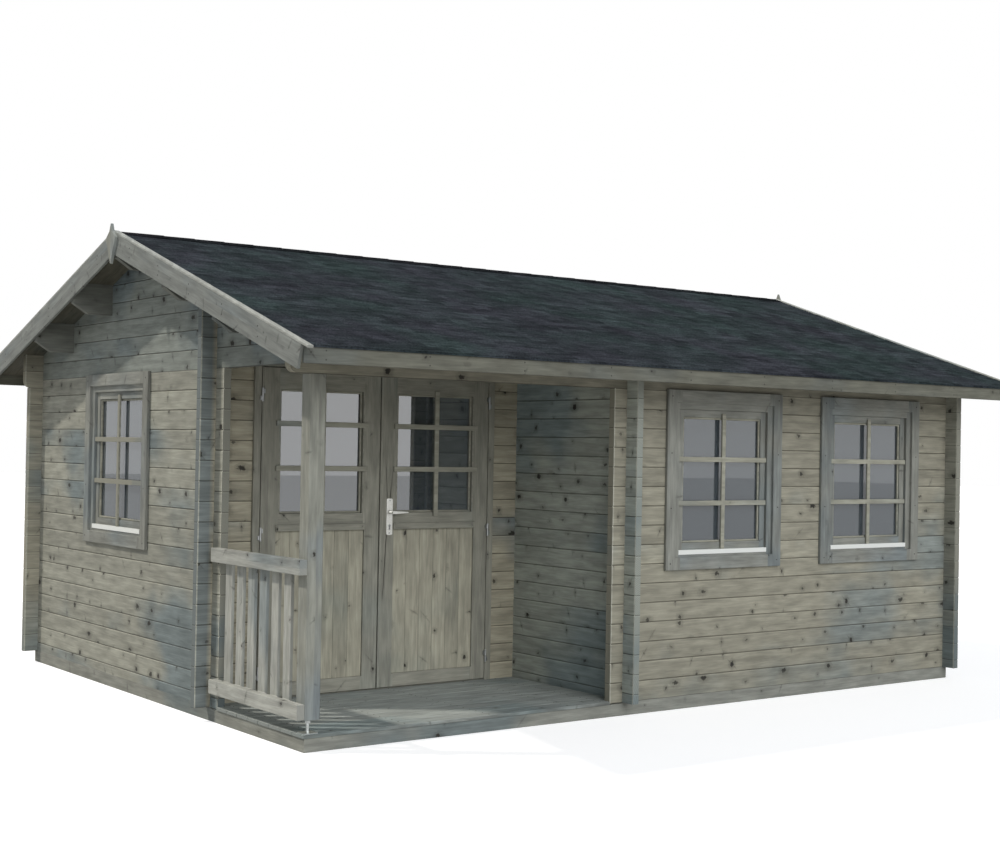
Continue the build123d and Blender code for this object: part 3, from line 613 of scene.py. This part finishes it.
# %% Balustrade, bearers and floor
BALUSTER_STEP = 0.132
RAIL_DEPTH = 0.044
rail_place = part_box("balustrade")[0].x
dress("balustrade", stained_timber(
    "stained_balustrade", ALONG_Y, "#979890", "#828987", pitch=BALUSTER_STEP,
    upright=("X", rail_place, RAIL_DEPTH), knots=(0.3, 0.08, 0.6, 6.0),
))
dress("bearers", stained_timber(
    "stained_bearer", ALONG_X, "#82837a", "#6a7270", cloud=0.55,
    side_turn=ALONG_Y, knots=(0.3, 0.12, 0.7, 6.0),
))
dress("room_floor", stained_timber(
    "planed_floor_boards", ALONG_X, "#8f7c5e", "#85765c", pitch=0.1, stack="Y", joint=3.0,
))
print("balustrade, bearers and floor dressed")

# %% [markdown]
# A window is a cased frame with a sash in it, and a door leaf is a frame too. Their side
# members stand and the others lie. The members could be parted in the solid, but the
# recipe only has to be told where the side members begin, and stands the grain there.

# %% Joinery
JOINERY = dict(warm="#7e7f77", cool="#727978", cloud=0.6, knots=(0.3, 0.09, 0.5, 4.0))
DOOR = dict(warm="#858478", cool="#797d75", cloud=0.4, knots=(0.28, 0.1, 0.55, 5.0))
WINDOWS = ("first_window", "second_window", "gable_window")
SIDE_MEMBERS = {"left_door_leaf": 0.11, "right_door_leaf": 0.11, "door_frame": 0.044}
for window in WINDOWS:
    SIDE_MEMBERS[window + "_frame"] = 0.115
    SIDE_MEMBERS[window + "_sash"] = 0.045
for node, side_member in SIDE_MEMBERS.items():
    axis, turn = ("Y", ALONG_Y) if node.startswith("gable") else ("X", ALONG_X)
    near, far = [getattr(corner, axis.lower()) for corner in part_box(node)]
    upright = (axis, (near + far) / 2, (far - near) / 2 - side_member)
    tones = DOOR if "door" in node else JOINERY
    dress(node, stained_timber("stained_" + node, turn, upright=upright, **tones))
print(len(SIDE_MEMBERS), "pieces of joinery dressed")

# %% [markdown]
# Glass shows a pale sky on its face and a dark room behind it. A sealed double pane has
# four faces that each send back about four hundredths of the light. They could all be
# modelled, but one sheet with a raised index stands for them with less noise. The door
# panes send back a little more. A quarter of each is a blue-grey film, a painted reflection
# of the sky, which keeps the room from looking black behind its panes.

# %% Glass
def pane(name, index):
    # Painted reflection: the film stands for a pale sky seen in the pane.
    film = linear("#7b868d")
    return new_finish(name, Roughness=0.0, IOR=index, Base_Color=film, Transmission_Weight=0.75)[0]


dress("window_glass", pane("float_glass_sealed_pane", 2.15))
door_pane = pane("float_glass_door_pane", 3.1)
for node in ("left_door_glass", "right_door_glass"):
    dress(node, door_pane)
print("glass set")

# %% [markdown]
# The metals are few: white coated sill strips, zinc plated hinges, a satin aluminium
# handle, a galvanised foot under the post, and dark screws. An even gloss would make them
# look like plastic, so a fine noise spreads the roughness. The widest grain is the
# spangle of the galvanised foot, and the others are finer and more even.

# %% Metals
def metal(name, colour, roughness, spread, grit, metallic=1.0):
    finish, tree, shader = new_finish(name, Metallic=metallic, Base_Color=linear(colour))
    place = add_node(tree, "TexCoord").outputs["Object"]
    fleck = add_node(tree, "TexNoise", {"Vector": place, "Scale": 1 / grit, "Detail": 3.0})
    limits = [fleck, NOISE_LOW, NOISE_HIGH, roughness - spread, roughness + spread]
    rough = add_node(tree, "MapRange", limits)
    tree.links.new(rough.outputs[0], shader.inputs["Roughness"])
    return finish


# A thick satin coat that hides the steel, and is only a little soiled.
white_coat = metal("white_powder_coated_steel", "#d6d8d2", 0.45, 0.05, 0.004, metallic=0.0)
# A thin bright coat with a dull, uneven gloss.
zinc = metal("zinc_plated_steel", "#a4a6a5", 0.38, 0.08, 0.006)
# The palest metal, with a soft even gloss.
satin = metal("satin_anodised_aluminium", "#dcdcd6", 0.30, 0.05, 0.003)
# Dipped in zinc, so the gloss changes from patch to patch.
galvanised = metal("galvanised_steel", "#c4c8c6", 0.42, 0.12, 0.012)
# Nearly black, for the slot that a key goes into.
blackened = metal("blackened_steel", "#1a1a1a", 0.5, 0.05, 0.003)
# Dark and dull, so a screw reads as a dot on the timber.
phosphated = metal("phosphated_steel_screw", "#4a4a46", 0.6, 0.1, 0.002)
for finish, nodes in (
    (white_coat, ["window_sills"]), (zinc, ["frame_hinges", "left_leaf_hinges", "right_leaf_hinges"]),
    (satin, ["handle_plates", "door_lever"]), (galvanised, ["post_foot"]),
):
    for node in nodes:
        dress(node, finish)
print("metals set")

# %% [markdown]
# Sawn and planed edges are never knife sharp, and their round catches a line of light.
# The rounds could be cut into the solids, but they are too fine for them. A weld and a
# small bevel as modifiers ease the arrises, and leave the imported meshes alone.

# %% Eased edges
SHARP_FROM = math.radians(35)
EASED = {
    0.002: ["left_door_leaf", "right_door_leaf", "door_frame"],
    0.003: ["corner_post", "balustrade", "fascia_front", "fascia_rear", "bearers", "finials"],
    0.0012: ["handle_plates", "door_lever"],
}
EASED[0.003] += [window + part for window in WINDOWS for part in ("_frame", "_sash")]
EASED[0.003] += ["barge_" + part for part in ("boards_front", "boards_rear", "caps_front", "caps_rear")]


def ease(node, width):
    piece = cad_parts[node]
    weld = piece.modifiers.new("weld", "WELD")
    weld.merge_threshold = 0.00002
    bevel = piece.modifiers.new("eased_edge", "BEVEL")
    bevel.width = width
    bevel.segments = 2
    bevel.limit_method = "ANGLE"
    bevel.angle_limit = SHARP_FROM


for width, nodes in EASED.items():
    for node in nodes:
        ease(node, width)
print("edges eased on", sum(len(nodes) for nodes in EASED.values()), "nodes")

# %% [markdown]
# New pieces start from a cube that is stretched between two corners, because every board
# and bar is a sawn block. They could be drawn point by point, but a block with its edges
# rounded says the same in one line. The last helper hands a piece to the body that it
# moves with.

# %% Helpers for pieces
def block(bm, low, high, frame_of_piece=Matrix.Identity(4)):
    low, high = Vector(low), Vector(high)
    place = Matrix.Translation((low + high) / 2) @ Matrix.Diagonal((*(high - low), 1.0))
    return bmesh.ops.create_cube(bm, size=1.0, matrix=frame_of_piece @ place)["verts"]


def round_edges(bm, verts, width, segments=1, longer_than=0.0):
    edges = {edge for vert in verts for edge in vert.link_edges if all(v in verts for v in edge.verts)}
    edges = [edge for edge in edges if edge.calc_length() > longer_than]
    bmesh.ops.bevel(
        bm, geom=edges, offset=width, offset_type="OFFSET",
        affect="EDGES", segments=segments, profile=0.5, material=-1,
    )


def finish_piece(bm, name, finish, body):
    bmesh.ops.recalc_face_normals(bm, faces=bm.faces)
    mesh = bpy.data.meshes.new(name)
    bm.to_mesh(mesh)
    bm.free()
    mesh.materials.append(finish)
    piece = bpy.data.objects.new(name, mesh)
    scene.collection.objects.link(piece)
    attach(piece, body)
    print(name, "has", sum(len(p.vertices) - 2 for p in mesh.polygons), "triangles")
    return piece


print("the pieces join", len(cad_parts), "packed nodes")

# %% [markdown]
# Pieces on the roof could be laid flat and turned afterwards. It is easier to place them
# in a frame of the slope, whose X runs along the house, Y down the slope and Z out of the
# roof. A piece that lifts a little is turned about one of its edges.

# %% Roof frame
def slope_frame(side):
    ridge = Vector((0.0, 0.0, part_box("roof_cover_front")[1].z))
    down = Vector((0.0, side * math.cos(SLOPE), -math.sin(SLOPE)))
    out = Vector((0.0, side * math.sin(SLOPE), math.cos(SLOPE)))
    turn = Matrix((Vector((1.0, 0.0, 0.0)), down, out)).transposed().to_4x4()
    return Matrix.Translation(ridge) @ turn


def turned_about(edge, angle, axis):
    edge = Vector(edge)
    return Matrix.Translation(edge) @ Matrix.Rotation(angle, 4, axis) @ Matrix.Translation(-edge)


SIDES = ((-1, "front"), (1, "rear"))
print("the roof falls by", round(math.degrees(SLOPE), 1), "degrees")

# %% [markdown]
# Bitumen shingles carry mineral grit, so they look dull and rough. Neighbouring tabs differ
# in tone, streaks run along the courses, and cool green and violet clouds drift over the
# roof. A picture of shingles would repeat, so each tab and each third of a tab gets a
# number from its place, and a shade from that. The grit is drawn at 8 mm, because real
# grains of 1 mm are finer than a pixel.

# %% Shingle finish
TAB = 0.333
EXPOSURE = 0.145
GRIT_SCALE = 120.0


def patch_shade(tree, axes, aside, wide, deep, darkest, palest):
    course = add_node(tree, "Math", [aside, deep * math.cos(SLOPE)], "DIVIDE")
    course_number = add_node(tree, "Math", [course], "FLOOR")
    step = add_node(tree, "Math", [course_number, wide / 2, axes["X"]], "MULTIPLY_ADD")
    tab = add_node(tree, "Math", [step, wide], "DIVIDE")
    tab_number = add_node(tree, "Math", [tab], "FLOOR")
    number = add_node(tree, "CombineXYZ", [tab_number, course_number])
    luck = add_node(tree, "TexWhiteNoise", [number], noise_dimensions="2D")
    return add_node(tree, "MapRange", {0: luck.outputs["Value"], 3: darkest, 4: palest})


def shingle_finish(name, green, violet):
    # Loose grit scatters light every way, so no gloss is left on it.
    finish, tree, shader = new_finish(name, Roughness=0.92, Specular_IOR_Level=0.0)
    place = add_node(tree, "TexCoord").outputs["Object"]
    axes = add_node(tree, "SeparateXYZ", [place]).outputs
    aside = add_node(tree, "Math", [axes["Y"]], "ABSOLUTE")
    whole_tabs = patch_shade(tree, axes, aside, TAB, EXPOSURE, 0.85, 1.15)
    blends = patch_shade(tree, axes, aside, TAB / 3, EXPOSURE / 2, 0.78, 1.25)
    cloud = add_node(tree, "TexNoise", {"Vector": place, "Scale": 1.6, "Detail": 4.0, "Roughness": 0.6})
    drawn = add_node(tree, "Mapping", {"Vector": place, "Scale": (7.0, 30.0, 30.0)})
    streak = add_node(tree, "TexNoise", {"Vector": drawn, "Scale": 1.0, "Detail": 5.0, "Roughness": 0.7})
    grit = add_node(tree, "TexNoise", {"Vector": place, "Scale": GRIT_SCALE, "Detail": 2.0})
    violet_part = add_node(tree, "MapRange", [cloud, 0.36, 0.64])
    colour = add_node(tree, "Mix", {0: violet_part, 6: linear(green), 7: linear(violet)}, data_type="RGBA")
    streaks = add_node(tree, "MapRange", [streak, NOISE_LOW, NOISE_HIGH, 0.6, 1.42])
    grains = add_node(tree, "MapRange", [grit, NOISE_LOW, NOISE_HIGH, 0.6, 1.4])
    shade = whole_tabs
    for part in (blends, streaks, grains):
        shade = add_node(tree, "Math", [shade, part], "MULTIPLY")
    join_up(tree, shader, colour, shade, grit, 0.4, 0.001)
    return finish


shingle = shingle_finish("mineral_grit_bitumen_shingle", "#2c3535", "#303237")
ridge_strip = shingle_finish("mineral_grit_bitumen_ridge_strip", "#1c2021", "#1c1c1f")
for side, name in SIDES:
    dress("roof_cover_" + name, shingle)
print("grit is drawn at", round(1 / GRIT_SCALE / MM, 1), "mm")

# %% [markdown]
# Shingles are nailed in courses, each laid over the heads of the one below. The roof could
# be one sheet with lines drawn on it, but its butts would throw no shadow. Each tab is a
# thin block with a small tilt, and every second course starts half a tab aside, as on a
# real roof. Slivers at the barge boards are left out.

# %% Shingle courses
LAP = 0.055
BUTT = 0.005
BUTT_LIFT = 0.004
TAB_GAP = 0.0015
SLIVER = 0.02
BARGE_INSET = 0.018
cover_low, cover_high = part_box("roof_cover_front")
roof_reach = -cover_low.y / math.cos(SLOPE)
roof_left = cover_low.x + BARGE_INSET
roof_right = cover_high.x - BARGE_INSET


def shingle_course(bm, roof, course):
    butt = roof_reach - 0.002 - course * EXPOSURE
    head = max(butt - EXPOSURE - LAP, 0.012)
    tilted = roof @ turned_about((0, butt, 0), -BUTT_LIFT / (EXPOSURE + LAP), "X")
    left = roof_left - (course % 2) * TAB / 2
    while left < roof_right:
        start = max(left + TAB_GAP, roof_left)
        end = min(left + TAB - TAB_GAP, roof_right)
        if end - start > SLIVER:
            block(bm, (start, head, 0.0002), (end, butt, BUTT), tilted)
        left += TAB


for side, name in SIDES:
    bm = bmesh.new()
    for course in range(int(roof_reach // EXPOSURE)):
        shingle_course(bm, slope_frame(side), course)
    finish_piece(bm, "shingle_courses_" + name, shingle, "house")

# %% [markdown]
# The ridge is closed with single tabs folded over it. A bent strip could be modelled in
# one piece, but two blocks, one on each slope, give the same fold. Each tab laps the next,
# and leans a little so that its butt shows.

# %% Ridge tabs
RIDGE_STEP = 0.2
RIDGE_HALF = 0.085
RIDGE_LEAN = 0.012
bm = bmesh.new()
for side in (-1, 1):
    left = roof_left
    while left < roof_right - 0.05:
        end = min(left + RIDGE_STEP * 1.4, roof_right)
        leaning = slope_frame(side) @ turned_about((left, 0, 0), -RIDGE_LEAN, "Y")
        block(bm, (left, -0.001, 0.006), (end, RIDGE_HALF, 0.0095), leaning)
        left += RIDGE_STEP
finish_piece(bm, "ridge_tabs", ridge_strip, "house")

# %% [markdown]
# The roof boards are tongued and run from ridge to eave. Only their undersides show, under
# the overhangs, where each joint has a small V. Grooves could be cut into one sheet, but
# a row of blocks, each with its two lower long edges taken off, makes the V by itself.
# They lie in shade, and are painted the darkest timber, as painted shade.

# %% Roof boards
ROOF_BOARD = 0.095
ROOF_BOARD_THICK = 0.018
ROOF_BOARD_DOWN = 0.007
for side, name in SIDES:
    node = "roof_boards_" + name
    low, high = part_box(node)
    # Painted shade: the dark tones stand for the shade of the overhang.
    finish = stained_timber(
        "stained_roof_boards_" + name, DOWN_REAR if side > 0 else DOWN_FRONT, "#535145", "#444741",
        pitch=ROOF_BOARD, stack="Y", knots=(0.4, 0.09, 0.6, 5.0),
    )
    roof = slope_frame(side)
    reach = (high.y if side > 0 else -low.y) / math.cos(SLOPE)
    bottom = -ROOF_BOARD_DOWN - ROOF_BOARD_THICK
    count = round((high.x - low.x) / ROOF_BOARD)
    width = (high.x - low.x) / count
    bm = bmesh.new()
    for index in range(count):
        left = low.x + index * width
        verts = block(bm, (left, 0.004, bottom), (left + width, reach - 0.006, -ROOF_BOARD_DOWN), roof)
        lower = [v for v in verts if (roof.inverted() @ v.co).z < bottom + ROOF_BOARD_THICK / 2]
        round_edges(bm, lower, 0.004, longer_than=1.0)
    boards = finish_piece(bm, "roof_board_row_" + name, finish, "house")
    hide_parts(node)

# %% [markdown]
# The porch deck is eight whole boards and one ripped board, laid along the front with
# 4 mm gaps. The solid is one sheet, and gaps drawn on it would hold no shade, so the
# boards are blocks with eased edges. The first board stops short of the log ends of the
# front wall, and the ripped one stops short of those of the gable wall.

# %% Deck boards
DECK_BOARDS = 8
CLEAR = 0.002
deck_low, deck_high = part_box("porch_deck")
deck_finish = stained_timber(
    "stained_deck_boards", ALONG_X, "#8b908b", "#788381", pitch=0.1214, start=deck_low.y, stack="Y",
    joint=3.0, cloud=0.6, knots=(0.35, 0.11, 0.6, 5.0),
)
gable_low, gable_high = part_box("left_gable_wall")
log_end_y = gable_low.y - CLEAR
log_end_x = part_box("front_wall")[0].x - CLEAR
row = (log_end_y - deck_low.y) / DECK_BOARDS
plan = []
for index in range(DECK_BOARDS):
    near = deck_low.y + index * row
    right = log_end_x if index == 0 else deck_high.x
    plan.append((deck_low.x, near + CLEAR, right, near + row - CLEAR))
# The rest of the first board starts behind the front log.
behind_log = deck_low.y + 0.054
plan.append((log_end_x + 0.001, behind_log, deck_high.x, deck_low.y + row - CLEAR))
plan.append((gable_high.x + CLEAR, log_end_y + CLEAR, deck_high.x, deck_high.y))
bm = bmesh.new()
for left, near, right, far in plan:
    round_edges(bm, block(bm, (left, near, deck_low.z), (right, far, deck_high.z)), 0.002, 2)
deck = finish_piece(bm, "deck_board_row", deck_finish, "house")
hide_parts("porch_deck")

# %% [markdown]
# Each door panel is six upright tongued boards with a V at every joint. They are blocks
# with a fine round, for the same reason as the deck. Under the porch roof they keep more
# of their warm colour than the walls.

# %% Door panel boards
PANEL_BOARDS = 6
for side in ("left", "right"):
    node = side + "_door_panel"
    low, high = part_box(node)
    width = (high.x - low.x) / PANEL_BOARDS
    finish = stained_timber(
        "stained_panel_boards_" + side, ALONG_Z, "#9a9786", "#878a7e", pitch=width, start=-high.x,
        joint=1.6, rim_light=0.0, cloud=0.35, knots=(0.3, 0.1, 0.7, 7.0),
    )
    bm = bmesh.new()
    for index in range(PANEL_BOARDS):
        left = low.x + index * width
        round_edges(bm, block(bm, (left, low.y, low.z), (left + width, high.y, high.z)), 0.0015)
    panel = finish_piece(bm, side + "_panel_boards", finish, side + "_leaf")
    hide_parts(node)

# %% [markdown]
# Bars and beads are planted on the outer face of a sash or leaf. It helps to build them
# in a frame of that face, whose X runs along it, Y out of it and Z up: one piece of code
# then serves the front, the doors and the gable.

# %% Faces for bars and beads
def face_frame(node, sunk):
    low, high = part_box(node)
    if node.startswith("gable"):
        place = Matrix.Translation((low.x + sunk, (low.y + high.y) / 2, 0))
        return place @ Matrix.Rotation(math.pi / 2, 4, "Z"), high.y - low.y
    place = Matrix.Translation(((low.x + high.x) / 2, low.y + sunk, 0))
    return place @ Matrix.Diagonal((1, -1, 1, 1)), high.x - low.x


print("a sash is", round(face_frame("first_window_sash", 0)[1], 3), "m wide")

# %% [markdown]
# The glazing bars are a loose lattice in front of the glass, two across and one upright,
# halved where they cross. They could be a pattern on the pane, but being 30 mm wide and
# 12 mm thick they catch the light in front of the dark glass. On a window they end at the
# edges of the sash, and the upright runs down to the sill strip.

# %% Glazing bars
BAR = 0.030
BAR_DEEP = 0.012
HALVED = 0.0005
bar_finish = stained_timber(
    "stained_glazing_bar_lying", ALONG_X, "#8e8d7f", "#80837b", knots=(0.4, 0.1, 0.15, 2.0)
)


def lattice(name, body, face, width, low, high, bar_heights):
    bm = bmesh.new()
    for height in bar_heights:
        corner = (-width / 2, 0.0, height - BAR / 2)
        round_edges(bm, block(bm, corner, (width / 2, BAR_DEEP, height + BAR / 2), face), 0.002, 2)
    corner = (-BAR / 2, HALVED, low)
    round_edges(bm, block(bm, corner, (BAR / 2, BAR_DEEP + HALVED, high), face), 0.002, 2)
    finish_piece(bm, name, bar_finish, body)


for window in WINDOWS:
    low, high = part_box(window + "_sash")
    face, width = face_frame(window + "_sash", 0)
    bars = (low.z + 0.284, low.z + 0.549)
    lattice(window + "_glazing_bars", "house", face, width - 0.004, low.z + 0.003, high.z - 0.02, bars)
for side in ("left", "right"):
    low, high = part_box(side + "_door_glass")
    leaf_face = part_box(side + "_door_leaf")[0].y
    face, width = face_frame(side + "_door_glass", leaf_face + 0.010 - low.y)
    bars = (low.z + 0.261, low.z + 0.518)
    name = side + "_door_glazing_bars"
    lattice(name, side + "_leaf", face, width + 0.06, low.z - 0.022, high.z + 0.022, bars)

# %% [markdown]
# A bead of 12 mm holds each pane in its sash. It is four strips with an eased edge, laid
# in the rebate in front of the glass. A groove in the sash would look alike from far off,
# but a real strip also draws the thin line of shade round every pane.

# %% Glazing beads
BEAD = 0.012
BEAD_DEEP = 0.014
SASH_SIDE = 0.045
PANE_SUNK = 0.0215


def bead_ring(name, body, face, width, low, high):
    side = width / 2
    bm = bmesh.new()
    for left, bottom, right, top in (
        (-side, low, -side + BEAD, high), (side - BEAD, low, side, high),
        (-side + BEAD, low, side - BEAD, low + BEAD), (-side + BEAD, high - BEAD, side - BEAD, high),
    ):
        round_edges(bm, block(bm, (left, 0.0, bottom), (right, BEAD_DEEP, top), face), 0.003)
    finish_piece(bm, name, bar_finish, body)


for window in WINDOWS:
    low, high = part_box(window + "_sash")
    face, width = face_frame(window + "_sash", PANE_SUNK)
    bead_ring(window + "_beads", "house", face, width - 2 * SASH_SIDE, low.z + SASH_SIDE, high.z - SASH_SIDE)
for side in ("left", "right"):
    low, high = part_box(side + "_door_glass")
    face, width = face_frame(side + "_door_glass", -0.0005)
    bead_ring(side + "_door_beads", side + "_leaf", face, width, low.z, high.z)

# %% [markdown]
# Screws hold the boards that are planted on. First their places are gathered, each with
# the way that it faces: pairs on every deck board over the joists, pairs along both
# fascias and barge boards, four on each side of a window casing, and two at both ends
# of every baluster.

# %% Where screws go
JOISTS = (deck_low.x + 0.09, deck_low.x + 0.62, deck_low.x + 1.17, deck_low.x + 1.72, log_end_x - 0.05)
FASCIA_STEPS = 9
BALUSTERS = 6
screws = []
deck_rows = [deck_low.y + row * (index + 0.5) for index in range(DECK_BOARDS)]
deck_rows.append((log_end_y + deck_high.y) / 2)
for board in deck_rows:
    for joist in JOISTS:
        for aside in (-0.03, 0.03):
            screws.append(((joist, board + aside, deck_high.z), (0, 0, 1)))
for side, name in SIDES:
    low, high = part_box("fascia_" + name)
    for index in range(FASCIA_STEPS + 1):
        place = low.x + 0.12 + (high.x - low.x - 0.24) * index / FASCIA_STEPS
        for height in (low.z + 0.02, high.z - 0.022):
            screws.append(((place, low.y if side < 0 else high.y, height), (0, side, 0)))
for side, name in SIDES:
    low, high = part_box("barge_boards_" + name)
    for outward, face in ((-1, low.x), (1, high.x)):
        for run in (0.24, 0.64, 1.04, 1.44, 1.84):
            for drop in (0.035, 0.085):
                fall = run * math.tan(SLOPE) + drop / math.cos(SLOPE)
                screws.append(((face, side * run, high.z - fall), (outward, 0, 0)))
for window in WINDOWS:
    low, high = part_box(window + "_frame")
    face, width = face_frame(window + "_frame", 0)
    for height in (low.z + 0.04, low.z + 0.37, low.z + 0.70, high.z - 0.04):
        for aside in (0.035 - width / 2, width / 2 - 0.035):
            screws.append((face @ Vector((aside, 0, height)), face.to_3x3() @ Vector((0, 1, 0))))
low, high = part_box("balustrade")
for index in range(BALUSTERS):
    middle = low.y + 0.1675 + BALUSTER_STEP * index
    for height in (low.z + 0.039, high.z - 0.039):
        for aside in (-0.018, 0.018):
            screws.append(((high.x, middle + aside, height), (1, 0, 0)))
print(len(screws), "screws")

# %% [markdown]
# A head is a low cone of 9 mm with ten sides. Copies of one object could be used, but
# hundreds of heads are lighter to draw and to move when they are joined into one mesh.
# The dull dark steel reads as a dot on the grey timber.

# %% Screw heads
bm = bmesh.new()
for place, outward in screws:
    lifted = Vector(place) + Vector(outward) * 0.0004
    turn = Matrix.Translation(lifted) @ Vector(outward).to_track_quat("Z", "Y").to_matrix().to_4x4()
    cone = dict(segments=10, radius1=0.0045, radius2=0.0034, depth=0.0016)
    bmesh.ops.create_cone(bm, cap_ends=True, matrix=turn, **cone)
finish_piece(bm, "screw_heads", phosphated, "house")

# %% [markdown]
# The handle plate carries a keyhole with its cylinder and two countersunk screws. They
# could be left out from afar, but from near by they make it read as a lock plate. Discs
# and blocks are enough for them. They ride with the right leaf.

# %% Handle fittings
plate_low, plate_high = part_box("handle_plates")
lever_low, lever_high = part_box("door_lever")
middle = (plate_low.x + plate_high.x) / 2
face = plate_low.y
keyhole = (lever_low.z + lever_high.z) / 2 - 0.080


def disc(bm, centre, radius, depth, segments):
    turn = Matrix.Translation(centre) @ Matrix.Rotation(math.pi / 2, 4, "X")
    cone = dict(segments=segments, radius1=radius, radius2=radius * 0.94, depth=depth)
    bmesh.ops.create_cone(bm, cap_ends=True, matrix=turn, **cone)


bm = bmesh.new()
for height in (plate_low.z + 0.012, plate_high.z - 0.012):
    disc(bm, (middle, face - 0.0006, height), 0.0045, 0.0016, 12)
disc(bm, (middle, face - 0.0010, keyhole), 0.0085, 0.0022, 24)
corner = (middle - 0.005, face - 0.0022, keyhole - 0.027)
round_edges(bm, block(bm, corner, (middle + 0.005, face - 0.0002, keyhole - 0.003)), 0.001)
finish_piece(bm, "handle_screws_and_cylinder", zinc, "right_leaf")
bm = bmesh.new()
corner = (middle - 0.0012, face - 0.0030, keyhole - 0.021)
block(bm, corner, (middle + 0.0012, face - 0.0021, keyhole + 0.003))
finish_piece(bm, "keyhole_slot", blackened, "right_leaf")
